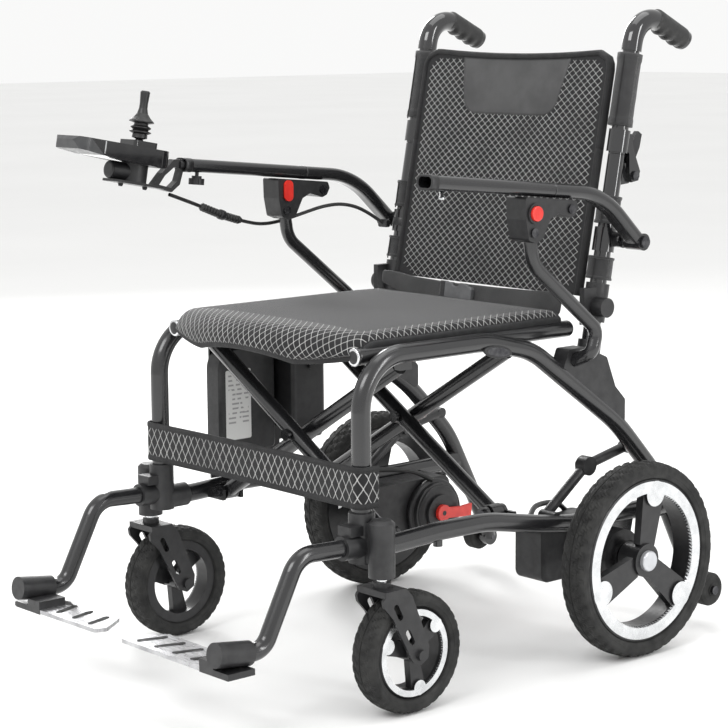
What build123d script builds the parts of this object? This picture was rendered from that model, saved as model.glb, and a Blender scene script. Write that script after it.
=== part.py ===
"""Folding power wheelchair, as separate pieces in one frame.

Millimetres. X points to the chair's left, Y to its rear and Z up. The origin lies on the floor under
the middle of the chair. Left-hand pieces are modelled and the right-hand ones are their mirror images.
"""
import os
from math import atan2, cos, radians, sin, tan

from build123d import *

# Driving dimensions
AXLE_Y = 268.5              # rear axle, behind the origin
AXLE_Z = 152.0              # rear axle height, the rear wheel's radius
FRAME_X = 239.0             # centre plane of a side frame
FRAME_R = 14.0              # frame tube radius
WALL = 2.0                  # wall of every frame tube
RAIL_FRONT = -506.0         # front leg, from the rear axle
RAIL_TOP = 508.5            # top of the side frame
WHEEL_X = 304.3             # centre plane of a rear wheel
WHEEL_WIDTH = 46.5
STEM_X = 276.5              # caster stem
STEM_Y = -501.9
CASTER_R = 88.8             # caster wheel radius and its axle height
CASTER_TRAIL = 46.0         # stem to caster axle
CASTER_WIDTH = 45.0
LINK_R = 12.5               # cross brace tube radius
PIVOT_X = 203.0             # lower pivots of the cross brace
PIVOT_Z = 240.0
CROSS_Z = 362.0             # where the two braces cross
LINK_A_Y = (-430.0, -213.0)  # planes of brace A, front and rear
LINK_B_Y = (-402.0, -185.0)  # planes of brace B
SEAT_TUBE_X = 212.0
SEAT_TUBE_Z = 507.0
POST_X = 230.0              # back posts
POST_R = 13.0
POST_FOOT = (-17.0, 564.0)  # a point of the post's centre line: Y from the axle, and Z
RECLINE = 11.2              # degrees
HINGE_Z = 769.0             # where the back folds
BACK_PIVOT = (52.0, 736.0)
LEVER_PIVOT = (43.0, 790.0)
ARM_X = 283.0
ARM_PIVOT = (12.0, 640.0)
ARM_FRONT = (-423.0, 752.5)
ARM_BEND = (-72.0, 718.0)
HANGER_X = 243.0
HANGER_R = 12.5
BARREL_FRONT = (-768.0, 136.0)
BARREL_REAR = (-690.0, 125.5)
BOLT_R = 4.0
GAP = 0.05                  # radial clearance of a pin in its hole

RISE = (sin(radians(RECLINE)), cos(radians(RECLINE)))
ARM_SLOPE = atan2(ARM_FRONT[1] - ARM_BEND[1], ARM_BEND[0] - ARM_FRONT[0])


def at(x, y, z):
    """A point with Y measured from the rear axle."""
    return (x, AXLE_Y + y, z)


def line_at(x, points):
    """Points of a side view, placed at one X."""
    return [at(x, y, z) for y, z in points]


def post_y(z):
    """Y of the back post's centre line at a height."""
    return POST_FOOT[0] + (z - POST_FOOT[1]) * tan(radians(RECLINE))


def side_plane(x):
    """The side view's plane: local X runs to the rear from the axle, local Y up."""
    return Plane(origin=(x, AXLE_Y, 0), x_dir=(0, 1, 0), z_dir=(1, 0, 0))


def bar(points, bends, radius, bore=0.0, mode=Mode.ADD):
    """Sweep a round bar, or a tube with a bore, along a bent path."""
    with BuildLine() as path:
        if bends:
            FilletPolyline(*points, radius=bends)
        else:
            Line(*points)
    with BuildSketch(Plane(origin=path.line @ 0, z_dir=path.line % 0)) as ring:
        Circle(radius)
        if bore:
            Circle(bore, mode=Mode.SUBTRACT)
    sweep(ring.sketch, path=path.line, mode=mode)


def rod(start, end, radius, mode=Mode.ADD):
    """A straight round bar between two points."""
    run = Vector(end) - Vector(start)
    with BuildSketch(Plane(origin=start, z_dir=run)) as disc:
        Circle(radius)
    extrude(disc.sketch, amount=run.length, mode=mode)


def cross_rod(x_from, x_to, y, z, radius, mode=Mode.ADD):
    """A round bar along X."""
    rod(at(x_from, y, z), at(x_to, y, z), radius, mode)


def block(low, high, mode=Mode.ADD):
    """A box between two corners, with Y from the rear axle."""
    middle = [(a + b) / 2 for a, b in zip(low, high)]
    with Locations(at(*middle)):
        Box(*[b - a for a, b in zip(low, high)], mode=mode)


def plate(outline, x_from, x_to, corner=0.0, mode=Mode.ADD):
    """A plate across X with an outline drawn in side view."""
    with BuildSketch(side_plane(x_from)) as face:
        with BuildLine():
            Polyline(*outline, close=True)
        make_face()
        if corner:
            fillet(face.vertices(), corner)
    extrude(face.sketch, amount=x_to - x_from, mode=mode)


def turned(profile, y, z):
    """Revolve a profile of (X, radius) points about the X axis through a hub."""
    with BuildSketch(Plane(origin=at(0, y, z), x_dir=(1, 0, 0), z_dir=(0, -1, 0))) as section:
        with BuildLine():
            Polyline(*profile, close=True)
        make_face()
    revolve(section.sketch, axis=Axis(at(0, y, z), (1, 0, 0)))


def write(piece, name):
    """Label a piece and write it."""
    piece.part.label = name
    export_step(piece.part, f"parts/{name}.step")


def mirrored(piece):
    """The right-hand twin of a left-hand piece."""
    with BuildPart() as twin:
        mirror(piece.part, about=Plane.YZ)
    return twin


def write_pair(piece, name):
    """Write a left-hand piece and its mirror image."""
    write(piece, f"left_{name}")
    write(mirrored(piece), f"right_{name}")


# Side frame

SIDE_PATH = [(RAIL_FRONT, 226), (RAIL_FRONT, RAIL_TOP + 0.5), (-262, RAIL_TOP), (-168, 486),
             (20, 354), (108, 262), (203, 82)]
SIDE_BENDS = [75, 180, 150, 300, 200]
RAIL_PATH = [(-484, 236), (-440, 237), (-360, 241), (-262, 240), (-150, 219), (-80, 208.5), (104, 209)]
RAIL_BENDS = [300, 400, 300, 150, 200]
STRUT_PATH = [at(282, -221, 690), at(282, -210, 622), at(282, -72, 512), at(282, -84, 478),
              at(248, -86, 464)]
STRUT_BENDS = [45, 22, 15]
STRUT_R = 10.5
HANGER_PATH = [(-521, 245), (-626, 249), BARREL_REAR, BARREL_FRONT]
HANGER_BENDS = [40, 30]
ANTI_TIP = (208.0, 61.0)


def side_tube():
    """The bent tube from the front leg over the seat rail and down to the anti-tip wheel."""
    with BuildPart() as piece:
        bar(line_at(FRAME_X, SIDE_PATH), SIDE_BENDS, FRAME_R, FRAME_R - WALL)
        cross_rod(232, 250, *ANTI_TIP, 15)
        bar(line_at(FRAME_X, [(197, 94), ANTI_TIP]), [], FRAME_R - WALL / 2)
        cross_rod(226, 256, *ANTI_TIP, BOLT_R, Mode.SUBTRACT)
    return piece


def lower_rail(planes):
    """The lower rail with its brace lugs, feet, axle plate and rear clamp."""
    with BuildPart() as piece:
        bar(line_at(FRAME_X, RAIL_PATH), RAIL_BENDS, FRAME_R)
        for y in (-360, -172):
            with Locations(at(FRAME_X, y, 224)):
                Cylinder(7, 10)
        for y in planes:
            for front in (y - 21, y + 14):
                block((PIVOT_X - 12, front, PIVOT_Z - 13), (FRAME_X - 6, front + 6, PIVOT_Z + 4))
                rod(at(PIVOT_X, front, PIVOT_Z), at(PIVOT_X, front + 6, PIVOT_Z), 12)
        plate([(-52, 205), (52, 205), (34, 128), (-34, 128)], 230, 248, 8)
        cross_rod(230, 248, 0, AXLE_Z, 50)
        bar(line_at(FRAME_X, [(96, 209), (122, 210)]), [], 20)
        bar(line_at(FRAME_X, SIDE_PATH), SIDE_BENDS, FRAME_R + 0.02, mode=Mode.SUBTRACT)
        bar(line_at(FRAME_X, RAIL_PATH), RAIL_BENDS, FRAME_R - WALL, mode=Mode.SUBTRACT)
        cross_rod(228, 250, 0, AXLE_Z, 40.1, Mode.SUBTRACT)
        for y in planes:
            rod(at(PIVOT_X, y - 24, PIVOT_Z), at(PIVOT_X, y + 24, PIVOT_Z), 5, Mode.SUBTRACT)
    return piece


def caster_housing():
    """The casting that holds the leg, the rail, the caster stem and the footrest hanger."""
    with BuildPart() as piece:
        rod(at(STEM_X, STEM_Y, 204), at(STEM_X, STEM_Y, 286), 19)
        chamfer(piece.edges().group_by(Axis.Z)[-1], 5)
        rod(at(FRAME_X, RAIL_FRONT, 220), at(FRAME_X, RAIL_FRONT, 292), 19)
        block((FRAME_X, -514, 222), (STEM_X, -490, 280))
        rod(at(FRAME_X, -508, 237), at(FRAME_X, -462, 237), 18.5)
        rod(at(HANGER_X, -508, 245), at(HANGER_X, -548, 246), 17.5)
        block((FRAME_X - 12, -540, 262), (FRAME_X + 16, -506, 276))
        rod(at(STEM_X, STEM_Y, 200), at(STEM_X, STEM_Y, 276), 8 + GAP, Mode.SUBTRACT)
        bar(line_at(FRAME_X, SIDE_PATH), SIDE_BENDS, FRAME_R + 0.02, mode=Mode.SUBTRACT)
        bar(line_at(FRAME_X, RAIL_PATH), RAIL_BENDS, FRAME_R + 0.02, mode=Mode.SUBTRACT)
        bar(line_at(HANGER_X, HANGER_PATH), HANGER_BENDS, HANGER_R + 0.02, mode=Mode.SUBTRACT)
    return piece


def back_bracket():
    """The gusset that carries the back post and the arm strut."""
    gusset = [(-112, 452), (-100, 482), (-62, 482), (-16, 462), (4, 414), (26, 392), (26, 350), (-100, 430)]
    foot = post_y(446)
    with BuildPart() as piece:
        plate(gusset, FRAME_X - 15, FRAME_X + 12, 6)
        rod(at(POST_X, foot, 446), at(POST_X, post_y(488), 488), 18)
        rod(at(POST_X, post_y(516), 516), at(POST_X, post_y(574), 574), 18)
        cross_rod(POST_X, POST_X + 34, -30, 540, 15)
        block((POST_X + 2, -58, 514), (POST_X + 12, -20, 570))
        for start, end in (((-112, 222), (-22, 288)), ((-22, 288), (66, 306))):
            rod(at(PIVOT_X + 11, *start), at(PIVOT_X + 11, *end), 8)
        cross_rod(PIVOT_X + 2, PIVOT_X + 20, -22, 288, 15)
        cross_rod(PIVOT_X + 4, FRAME_X, -112, 222, 9)
        cross_rod(PIVOT_X + 4, FRAME_X, 66, 306, 9)
        cross_rod(PIVOT_X - 5, PIVOT_X + 4, -22, 288, 8)
        bar(line_at(FRAME_X, SIDE_PATH), SIDE_BENDS, FRAME_R + 0.02, mode=Mode.SUBTRACT)
        bar(line_at(FRAME_X, RAIL_PATH), RAIL_BENDS, FRAME_R + 0.02, mode=Mode.SUBTRACT)
        rod(at(POST_X, foot, 446), at(POST_X, post_y(600), 600), POST_R + 0.02, Mode.SUBTRACT)
        bar(STRUT_PATH, STRUT_BENDS, STRUT_R + 0.02, mode=Mode.SUBTRACT)
    return piece


def back_post():
    """The lower back post with the armrest bearing and the tongue of the folding joint."""
    tongue = [(20, 722), (46, 724), (62, 734), (56, 747), (40, 747), (22, 752)]
    with BuildPart() as piece:
        bar([at(POST_X, post_y(446), 446), at(POST_X, post_y(HINGE_Z), HINGE_Z)], [], POST_R)
        rod(at(POST_X, post_y(622), 622), at(POST_X, post_y(658), 658), POST_R + 4)
        cross_rod(POST_X, POST_X + 27, *ARM_PIVOT, 12)
        plate(tongue, POST_X - 5, POST_X + 5)
        cross_rod(POST_X - 5, POST_X + 5, *BACK_PIVOT, 11)
        rod(at(POST_X, post_y(447), 447), at(POST_X, post_y(HINGE_Z + 2), HINGE_Z + 2), POST_R - WALL,
            Mode.SUBTRACT)
        cross_rod(POST_X - 8, POST_X + 8, *BACK_PIVOT, BOLT_R + GAP, Mode.SUBTRACT)
        cross_rod(POST_X + 3, POST_X + 30, *ARM_PIVOT, 6, Mode.SUBTRACT)
    return piece


def arm_strut():
    """The S-shaped tube from the gusset up to the armrest latch."""
    with BuildPart() as piece:
        bar(STRUT_PATH, STRUT_BENDS, STRUT_R, STRUT_R - WALL)
    return piece


BUTTON = (-226.0, 698.0)
LATCH_BOLTS = [(-227.8, 670.0), (-151.0, 700.0)]


def arm_latch():
    """The block under the armrest that locks it down."""
    outline = [(-245, 722.5), (-140, 712), (-136, 702), (-142, 691), (-152, 687), (-178, 695), (-194, 688),
               (-208, 662), (-222, 654), (-238, 660), (-244, 690)]
    with BuildPart() as piece:
        plate(outline, 262, 302, 4)
        cross_rod(262, 305, *BUTTON, 15)
        bar(STRUT_PATH, STRUT_BENDS, STRUT_R + 0.02, mode=Mode.SUBTRACT)
        cross_rod(260, 308, *BUTTON, 7.3, Mode.SUBTRACT)
        cross_rod(296, 308, *BUTTON, 11.6, Mode.SUBTRACT)
        for y, z in LATCH_BOLTS:
            cross_rod(260, 304, y, z, BOLT_R, Mode.SUBTRACT)
    return piece


def release_button():
    """The armrest release: an outer button, its shaft and the oval plate on the inner face."""
    y, z = BUTTON
    with BuildPart() as piece:
        cross_rod(301.5, 309, y, z, 11)
        fillet(piece.edges().group_by(Axis.X)[-1], 1.5)
        cross_rod(258, 302, y, z, 7)
        with BuildSketch(side_plane(257)):
            with Locations((y, z + 4)):
                SlotOverall(34, 17, rotation=90)
        extrude(amount=4)
    return piece


def footrest_hanger():
    """The bent tube from the front casting down to the footplate."""
    with BuildPart() as piece:
        bar(line_at(HANGER_X, HANGER_PATH), HANGER_BENDS, HANGER_R, HANGER_R - WALL)
    return piece


def footplate(tip, heel):
    """The flip-up footplate on its sleeve, with a bracket under the barrel."""
    run = Vector(0, BARREL_FRONT[0] - BARREL_REAR[0], BARREL_FRONT[1] - BARREL_REAR[1]).normalized()
    front = Vector(at(HANGER_X, *BARREL_FRONT))
    outline = [(heel, -764), (tip + 6, -762), (tip, -744), (tip + 34, -698), (heel - 60, -701), (heel, -716)]
    with BuildPart() as piece:
        rod(front - run * 54, front + run * 4, 17.5)
        rod(front - run * 56, front + run * 0.5, HANGER_R + 0.1, Mode.SUBTRACT)
        block((198, -764, 103), (262, -718, 112))
        rod(front - run * 58, front + run * 0.5, HANGER_R + 0.1, Mode.SUBTRACT)
        block((198, -764, 108), (229, -718, 122))
        with BuildSketch(Plane(origin=(0, AXLE_Y, 104))):
            with BuildLine():
                Polyline(*outline, close=True)
            make_face()
            fillet(vertices(), 6)
        extrude(amount=6)
        for step in range(4):
            with BuildSketch(Plane(origin=(0, AXLE_Y, 109))):
                with Locations((tip + 40 + 42 * step, -731)):
                    SlotOverall(46, 9, rotation=72)
            extrude(amount=2)
    return piece


# Wheels

def anti_tip_wheel():
    """A small rear wheel with its bore."""
    y, z = ANTI_TIP
    with BuildPart() as piece:
        turned([(254, 7), (254, 20), (256, 25), (259, 27), (275, 27), (278, 25), (280, 20), (280, 7)], y, z)
        cross_rod(252, 282, y, z, BOLT_R + GAP, Mode.SUBTRACT)
        turned([(253, BOLT_R + GAP), (253, 10), (281, 10), (281, BOLT_R + GAP)], y, z)
    return piece


def tyre(centre, width, outer, inner, y, z):
    """A solid tyre with a rounded tread and a flat seat on the rim."""
    half = width / 2
    wall = outer - inner
    section = [(-0.72 * half, inner), (-0.92 * half, inner + 0.3 * wall), (-half, inner + 0.6 * wall),
               (-0.82 * half, inner + 0.87 * wall), (-0.42 * half, outer), (0.42 * half, outer),
               (0.82 * half, inner + 0.87 * wall), (half, inner + 0.6 * wall),
               (0.92 * half, inner + 0.3 * wall), (0.72 * half, inner)]
    with BuildPart() as piece:
        turned([(centre + x, r) for x, r in section], y, z)
    return piece


def spoked_rim(centre, half, seat, well, hub, bore, face, spoke_width, y, z, lead):
    """A rim with three spokes. The ring on its outer face swells where each spoke meets it."""
    with BuildPart() as piece:
        turned([(centre - half, well), (centre - half, seat), (centre + half, seat), (face, seat - 3),
                (face, well + 2), (centre + half - 4, well)], y, z)
        turned([(centre - half, bore), (centre - half, hub), (face, hub), (face, bore)], y, z)
        for turn in (lead, lead + 120, lead + 240):
            away = (cos(radians(turn)), sin(radians(turn)))
            with BuildSketch(side_plane(centre + 2)):
                with BuildLine():
                    Polyline(*[(y + away[0] * r - away[1] * w, z + away[1] * r + away[0] * w)
                               for r, w in ((hub - 3, -0.42 * spoke_width), (well + 3, -0.6 * spoke_width),
                                            (well + 3, 0.6 * spoke_width), (hub - 3, 0.42 * spoke_width))],
                             close=True)
                make_face()
            extrude(amount=face - 4 - centre - 2)
            cross_rod(face - 4, face, y + away[0] * (well + 1), z + away[1] * (well + 1), 0.5 * spoke_width)
        cross_rod(centre - half - 1, face + 1, y, z, bore, Mode.SUBTRACT)
    return piece


def rear_rim():
    """The rear rim with the domed cap that closes its hub."""
    rim = spoked_rim(WHEEL_X, 18, 126, 103, 26, 10 + GAP, 323.5, 40, 0, AXLE_Z, 80)
    with BuildPart() as piece:
        add(rim.part)
        cross_rod(322, 331, 0, AXLE_Z, 16)
        fillet(piece.edges().group_by(Axis.X)[-1], 3)
    return piece


def caster_fork():
    """The caster fork with its stem and the wheel's axle bolt."""
    hub_y = STEM_Y + CASTER_TRAIL
    arm = [(-526, 178), (-514, 190), (-484, 190), (-472, 178), (-440, 100), (-442, 82), (-456, 74),
           (-470, 80), (-478, 94), (-508, 150), (-524, 168)]
    slots = [(-498, 158, 26, 9), (-476, 118, 26, 9)]
    with BuildPart() as piece:
        rod(at(STEM_X, STEM_Y, 182), at(STEM_X, STEM_Y, 274), 8)
        block((STEM_X - 30.6, -522, 181), (STEM_X + 30.6, -482, 190))
        rod(at(STEM_X, STEM_Y, 188), at(STEM_X, STEM_Y, 198), 13)
        for inner in (-30.6, 25.6):
            plate(arm, STEM_X + inner, STEM_X + inner + 5, 4)
        for y, z, length, width in slots:
            with BuildSketch(side_plane(STEM_X - 40)):
                with Locations((y, z)):
                    SlotOverall(length, width, rotation=117)
            extrude(amount=80, mode=Mode.SUBTRACT)
        cross_rod(STEM_X - 34, STEM_X + 34, hub_y, CASTER_R, BOLT_R)
        for x in (STEM_X - 36, STEM_X + 30.6):
            cross_rod(x, x + 5.4, hub_y, CASTER_R, 8)
    return piece


# Cross brace, seat and back

def brace(planes, foot_x):
    """One half of the folding brace: two links from their lower pivots, welded to a seat tube."""
    top_z = 2 * CROSS_Z - PIVOT_Z
    seat_x = -SEAT_TUBE_X if foot_x > 0 else SEAT_TUBE_X
    with BuildPart() as piece:
        rod(at(seat_x, -494, SEAT_TUBE_Z), at(seat_x, -60, SEAT_TUBE_Z), LINK_R)
        fillet(piece.edges().filter_by(GeomType.CIRCLE), 5)
        for y in planes:
            rod(at(foot_x, y, PIVOT_Z), at(-foot_x, y, top_z), LINK_R)
            rod(at(foot_x, y - 11, PIVOT_Z), at(foot_x, y + 11, PIVOT_Z), 14)
        for y in planes:
            block((seat_x - 8, y - 11, top_z - 4), (seat_x + 7, y + 11, SEAT_TUBE_Z - 3))
            rod(at(foot_x, y - 20, PIVOT_Z), at(foot_x, y + 20, PIVOT_Z), 5 + GAP, Mode.SUBTRACT)
    return piece


def cross_brace_a():
    """Brace A, with holes for the crossing bolts."""
    piece = brace(LINK_A_Y, PIVOT_X)
    with BuildPart() as bored:
        add(piece.part)
        for y in LINK_A_Y:
            rod(at(0, y - 20, CROSS_Z), at(0, y + 20, CROSS_Z), 5 + GAP, Mode.SUBTRACT)
    return bored


def cross_brace_b():
    """Brace B, with the bolts that the braces turn on where they cross."""
    piece = brace(LINK_B_Y, -PIVOT_X)
    with BuildPart() as bolted:
        add(piece.part)
        for y in LINK_B_Y:
            rod(at(0, y - 44, CROSS_Z), at(0, y + 17, CROSS_Z), 5)
            rod(at(0, y - 48, CROSS_Z), at(0, y - 42.5, CROSS_Z), 9)
            rod(at(0, y + 12.6, CROSS_Z), at(0, y + 18, CROSS_Z), 9)
    return bolted


SEAT_FRONT = -508.0
SEAT_REAR = -84.0
SEAT_LOW = SEAT_TUBE_Z + LINK_R + 0.5
SEAT_HIGH = 543.0
SEAT_HALF = 214.0
BACK_HALF = 211.0


def seat_cushion():
    """The seat pad with the lip that hangs over its front edge."""
    with BuildPart() as piece:
        block((-SEAT_HALF, SEAT_FRONT, SEAT_LOW), (SEAT_HALF, SEAT_REAR, SEAT_HIGH))
        block((-SEAT_HALF + 8, SEAT_FRONT, SEAT_LOW - 20), (SEAT_HALF - 8, SEAT_FRONT + 10, SEAT_LOW + 2))
    return piece


def back_pad(low, high):
    """A panel of the back upholstery in front of the posts, between two distances up the recline."""
    face = Plane(origin=at(0, *POST_FOOT), x_dir=(1, 0, 0), z_dir=(0, -RISE[1], RISE[0]))
    with BuildPart() as piece:
        with BuildSketch(face.offset(6)):
            with Locations((0, (low + high) / 2)):
                Rectangle(2 * BACK_HALF, high - low)
        extrude(amount=20)
    return piece


def calf_strap():
    """The mesh strap round the front legs."""
    low, high, reach, front, thick = 300, 357, 258, -525, 4
    with BuildPart() as piece:
        block((-reach, front, low), (reach, front + thick, high))
        for x in (-reach, reach - thick):
            block((x, front, low), (x + thick, -488, high))
    return piece


def seat_belt():
    """The lap belt across the back of the seat, with its buckle."""
    with BuildPart() as piece:
        block((-206, -72, 526), (206, -69, 562))
        block((-58, -80, 522), (16, -66, 560))
    return piece


# Drive

def motor():
    """A geared hub motor: neck, gearbox, round body and the output shaft."""
    with BuildPart() as piece:
        block((166, -128, 118), (221, 44, 208))
        fillet(piece.edges().filter_by(Axis.X), 16)
        cross_rod(221, 272, 0, AXLE_Z, 40)
        cross_rod(272, 280, 0, AXLE_Z, 22)
        cross_rod(280, 320, 0, AXLE_Z, 10)
        cross_rod(146, 166, 0, AXLE_Z, 50)
        cross_rod(138, 146, 0, AXLE_Z, 30)
        cross_rod(130.5, 138, 0, AXLE_Z, BOLT_R)
    return piece


def clutch_lever():
    """The lever that frees the motor from its wheel."""
    with BuildPart() as piece:
        cross_rod(131, 137.5, 0, AXLE_Z, 14)
        plate([(0, 143), (40, 140), (62, 138), (64, 160), (40, 158), (0, 161)], 131, 136)
        cross_rod(130, 139, 0, AXLE_Z, BOLT_R + GAP, Mode.SUBTRACT)
    return piece


def battery_case():
    """The battery pack with rounded upper corners."""
    with BuildPart() as piece:
        block((-234, -418, 296), (-201, -305, 466))
        fillet(piece.edges().filter_by(Axis.X).group_by(Axis.Z)[-1], 34)
        fillet(piece.edges().filter_by(Axis.X).group_by(Axis.Z)[0], 10)
        chamfer(piece.faces().sort_by(Axis.X)[-1].edges(), 4)
    return piece


def controller_box():
    """The motor controller with its lid, on the plate that also guides the battery."""
    with BuildPart() as piece:
        block((-240, -410, 254.6), (-236.5, -270, 494.6))
        block((-240, -272, 300), (-236.5, -226, 450))
        block((-237, -298, 330), (-165, -230, 438))
        fillet(piece.edges().filter_by(Axis.Z).group_by(Axis.X)[-1], 8)
        block((-237, -300, 438), (-162, -228.5, 444))
        cross_rod(-165, -160, -264, 428, 4)
    return piece


# Armrests and folding back

CLAMP_Y = -392.0
ARM_DOWN = Vector(0, -sin(ARM_SLOPE), -cos(ARM_SLOPE))


def arm_point(x, y):
    """A point on the straight part of an armrest's centre line."""
    return Vector(*at(x, y, ARM_FRONT[1] - (y - ARM_FRONT[0]) * tan(ARM_SLOPE)))


def arm_tube():
    """The flat oval armrest tube with its pivot boss."""
    with BuildPart() as piece:
        with BuildLine() as path:
            FilletPolyline(*line_at(ARM_X, [ARM_FRONT, ARM_BEND, ARM_PIVOT]), radius=[150])
        with BuildSketch(Plane(origin=path.line @ 0, x_dir=(1, 0, 0), z_dir=path.line % 0)):
            RectangleRounded(32, 21, 9.5)
            RectangleRounded(27, 16, 7, mode=Mode.SUBTRACT)
        sweep()
        cross_rod(ARM_X - 16, ARM_X + 16, *ARM_PIVOT, 13)
        cross_rod(ARM_X - 18, ARM_X + 18, *ARM_PIVOT, 6 + GAP, Mode.SUBTRACT)
        rod(arm_point(ARM_X, CLAMP_Y) + ARM_DOWN * 20, arm_point(ARM_X, CLAMP_Y), 3.2, Mode.SUBTRACT)
    return piece


def push_handle():
    """The upper back post with its push grip, collar and the two cheeks of the folding joint."""
    crest = at(POST_X, post_y(992), 992)
    tail = at(POST_X, 170, 943)
    run = (Vector(tail) - Vector(crest)).normalized()
    cheek = [(28, 800), (44, 800), (50, 774), (64, 742), (60, 728), (46, 726), (40, 740), (39, 770),
             (30, 778)]
    with BuildPart() as piece:
        bar([at(POST_X, post_y(HINGE_Z + 0.6), HINGE_Z + 0.6), crest, tail], [42], POST_R, POST_R - WALL)
        bar([at(POST_X, post_y(925), 925), crest, tail], [42], 15.8, POST_R)
        rod(tail, Vector(tail) + run * 6, 15.8)
        rod(at(POST_X, post_y(772), 772), at(POST_X, post_y(806), 806), POST_R + 3.5)
        for x in (POST_X - 12.5, POST_X + 5.3):
            plate(cheek, x, x + 7.2)
        rod(at(POST_X, post_y(770), 770), at(POST_X, post_y(810), 810), POST_R - WALL, Mode.SUBTRACT)
        plate([(38, 768), (70, 768), (70, 802), (38, 802)], POST_X - 5.2, POST_X + 5.2, mode=Mode.SUBTRACT)
        cross_rod(POST_X - 14, POST_X + 14, *BACK_PIVOT, BOLT_R + GAP, Mode.SUBTRACT)
        cross_rod(POST_X - 14, POST_X + 14, *LEVER_PIVOT, 2.5, Mode.SUBTRACT)
        cross_rod(POST_X - 12.5, POST_X + 12.5, *LEVER_PIVOT, 2.5)
    return piece



def back_lever():
    """The sprung thumb lever that locks the folding joint."""
    outline = [(41, 796), (47, 797), (56, 790), (68, 803), (76, 798), (71, 778), (60, 758), (52, 754),
               (49, 766), (45, 776), (41, 784)]
    with BuildPart() as piece:
        plate(outline, POST_X - 4.6, POST_X + 4.6)
        cross_rod(POST_X - 6, POST_X + 6, *LEVER_PIVOT, 2.5 + GAP, Mode.SUBTRACT)
    return piece


def bolts(planes):
    """The pins and bolts that ride on one side frame."""
    with BuildPart() as piece:
        for y in planes:
            rod(at(PIVOT_X, y - 21, PIVOT_Z), at(PIVOT_X, y + 20, PIVOT_Z), 5)
            rod(at(PIVOT_X, y - 26, PIVOT_Z), at(PIVOT_X, y - 21, PIVOT_Z), 8)
            rod(at(PIVOT_X, y + 20, PIVOT_Z), at(PIVOT_X, y + 24, PIVOT_Z), 8)
        cross_rod(POST_X + 3, ARM_X + 17, *ARM_PIVOT, 6)
        cross_rod(ARM_X + 16.3, ARM_X + 20, *ARM_PIVOT, 9)
        cross_rod(POST_X - 13, POST_X + 13, *BACK_PIVOT, BOLT_R)
        for x in (POST_X - 16, POST_X + 12.8):
            cross_rod(x, x + 3.2, *BACK_PIVOT, 7)
        for y, z in LATCH_BOLTS:
            cross_rod(262, 302, y, z, BOLT_R)
            for x in (259, 302):
                cross_rod(x, x + 3, y, z, 7)
        cross_rod(226, 282, *ANTI_TIP, BOLT_R)
        cross_rod(281.3, 286, *ANTI_TIP, 7)
    return piece


# Joystick pod

POD_X = -283.0
POD_REAR = (-464.0, 775.0)
POD_PITCH = radians(10.7)
POD_AHEAD = (0, -cos(POD_PITCH), sin(POD_PITCH))
POD_UP = (0, sin(POD_PITCH), cos(POD_PITCH))
POD_SIDE = Plane(origin=at(POD_X, *POD_REAR), x_dir=POD_AHEAD, z_dir=(-1, 0, 0))
POD_TOP = Plane(origin=at(POD_X, *POD_REAR), x_dir=POD_AHEAD, z_dir=POD_UP)
STICK_U = 42.0
GIMBAL_V = 7.0


def pod_case():
    """The joystick housing: body, joystick socket, charging socket and the neck below."""
    outline = [(0, 0), (172, 0), (177, -6), (171, -19), (128, -23), (30, -27), (8, -27), (0, -19)]
    with BuildPart() as piece:
        with BuildSketch(POD_SIDE):
            with BuildLine():
                Polyline(*outline, close=True)
            make_face()
        extrude(amount=38, both=True)
        with BuildSketch(POD_TOP.offset(-40)):
            with Locations((88, 0)):
                RectangleRounded(178, 76, 22)
        extrude(amount=60, mode=Mode.INTERSECT)
        with BuildSketch(POD_TOP):
            with Locations((STICK_U, 0)):
                RectangleRounded(44, 44, 5)
        extrude(amount=10)
        with BuildSketch(POD_TOP.offset(-54)):
            with Locations((44, 0)):
                Circle(21)
        extrude(amount=30)
        with BuildSketch(Plane(origin=POD_SIDE.from_local_coords((46, -40, 0)), z_dir=POD_AHEAD)):
            Circle(14)
        extrude(amount=44)
        with BuildSketch(Plane(origin=POD_SIDE.from_local_coords((90, -40, 0)), z_dir=POD_AHEAD)):
            Circle(9)
        extrude(amount=-12, mode=Mode.SUBTRACT)
        with BuildSketch(POD_TOP):
            with Locations((STICK_U, 0)):
                Circle(15.5)
        extrude(amount=12, mode=Mode.SUBTRACT)
    return piece


def joystick_gimbal():
    """The ring that gives the joystick its two axes."""
    centre = POD_TOP.from_local_coords((STICK_U, 0, GIMBAL_V))
    ring = Plane(origin=centre, x_dir=POD_AHEAD, z_dir=POD_UP)
    with BuildPart() as piece:
        with BuildSketch(ring.offset(-2)):
            Circle(13)
            Circle(9.6, mode=Mode.SUBTRACT)
        extrude(amount=4)
        rod(centre + Vector(12, 0, 0), centre + Vector(14.8, 0, 0), 1.5)
        rod(centre - Vector(14.8, 0, 0), centre - Vector(12, 0, 0), 1.5)
    return piece


def joystick():
    """The stick with its skirt and bellows, turned about its own axis."""
    centre = POD_TOP.from_local_coords((STICK_U, 0, GIMBAL_V))
    profile = [(0, -5.4), (5, -5.4), (7.5, -3), (7.5, 3), (5.5, 6), (12, 8), (11.5, 14), (17, 16.5),
               (17, 18), (11.5, 20), (16, 23.5), (16, 25), (11, 27.5), (11, 30.5), (19.5, 32.5), (19.5, 34),
               (13, 40), (8.5, 46), (6.6, 54), (6.4, 62), (7.6, 79), (6, 81), (0, 81)]
    with BuildPart() as piece:
        with BuildSketch(Plane(origin=centre, x_dir=(1, 0, 0), z_dir=(0, -POD_UP[2], POD_UP[1]))):
            with BuildLine():
                Polyline(*profile, close=True)
            make_face()
        revolve(axis=Axis(centre, POD_UP))
        rod(centre - Vector(*POD_AHEAD) * 9.2, centre + Vector(*POD_AHEAD) * 9.2, 1.5)
    return piece


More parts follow.
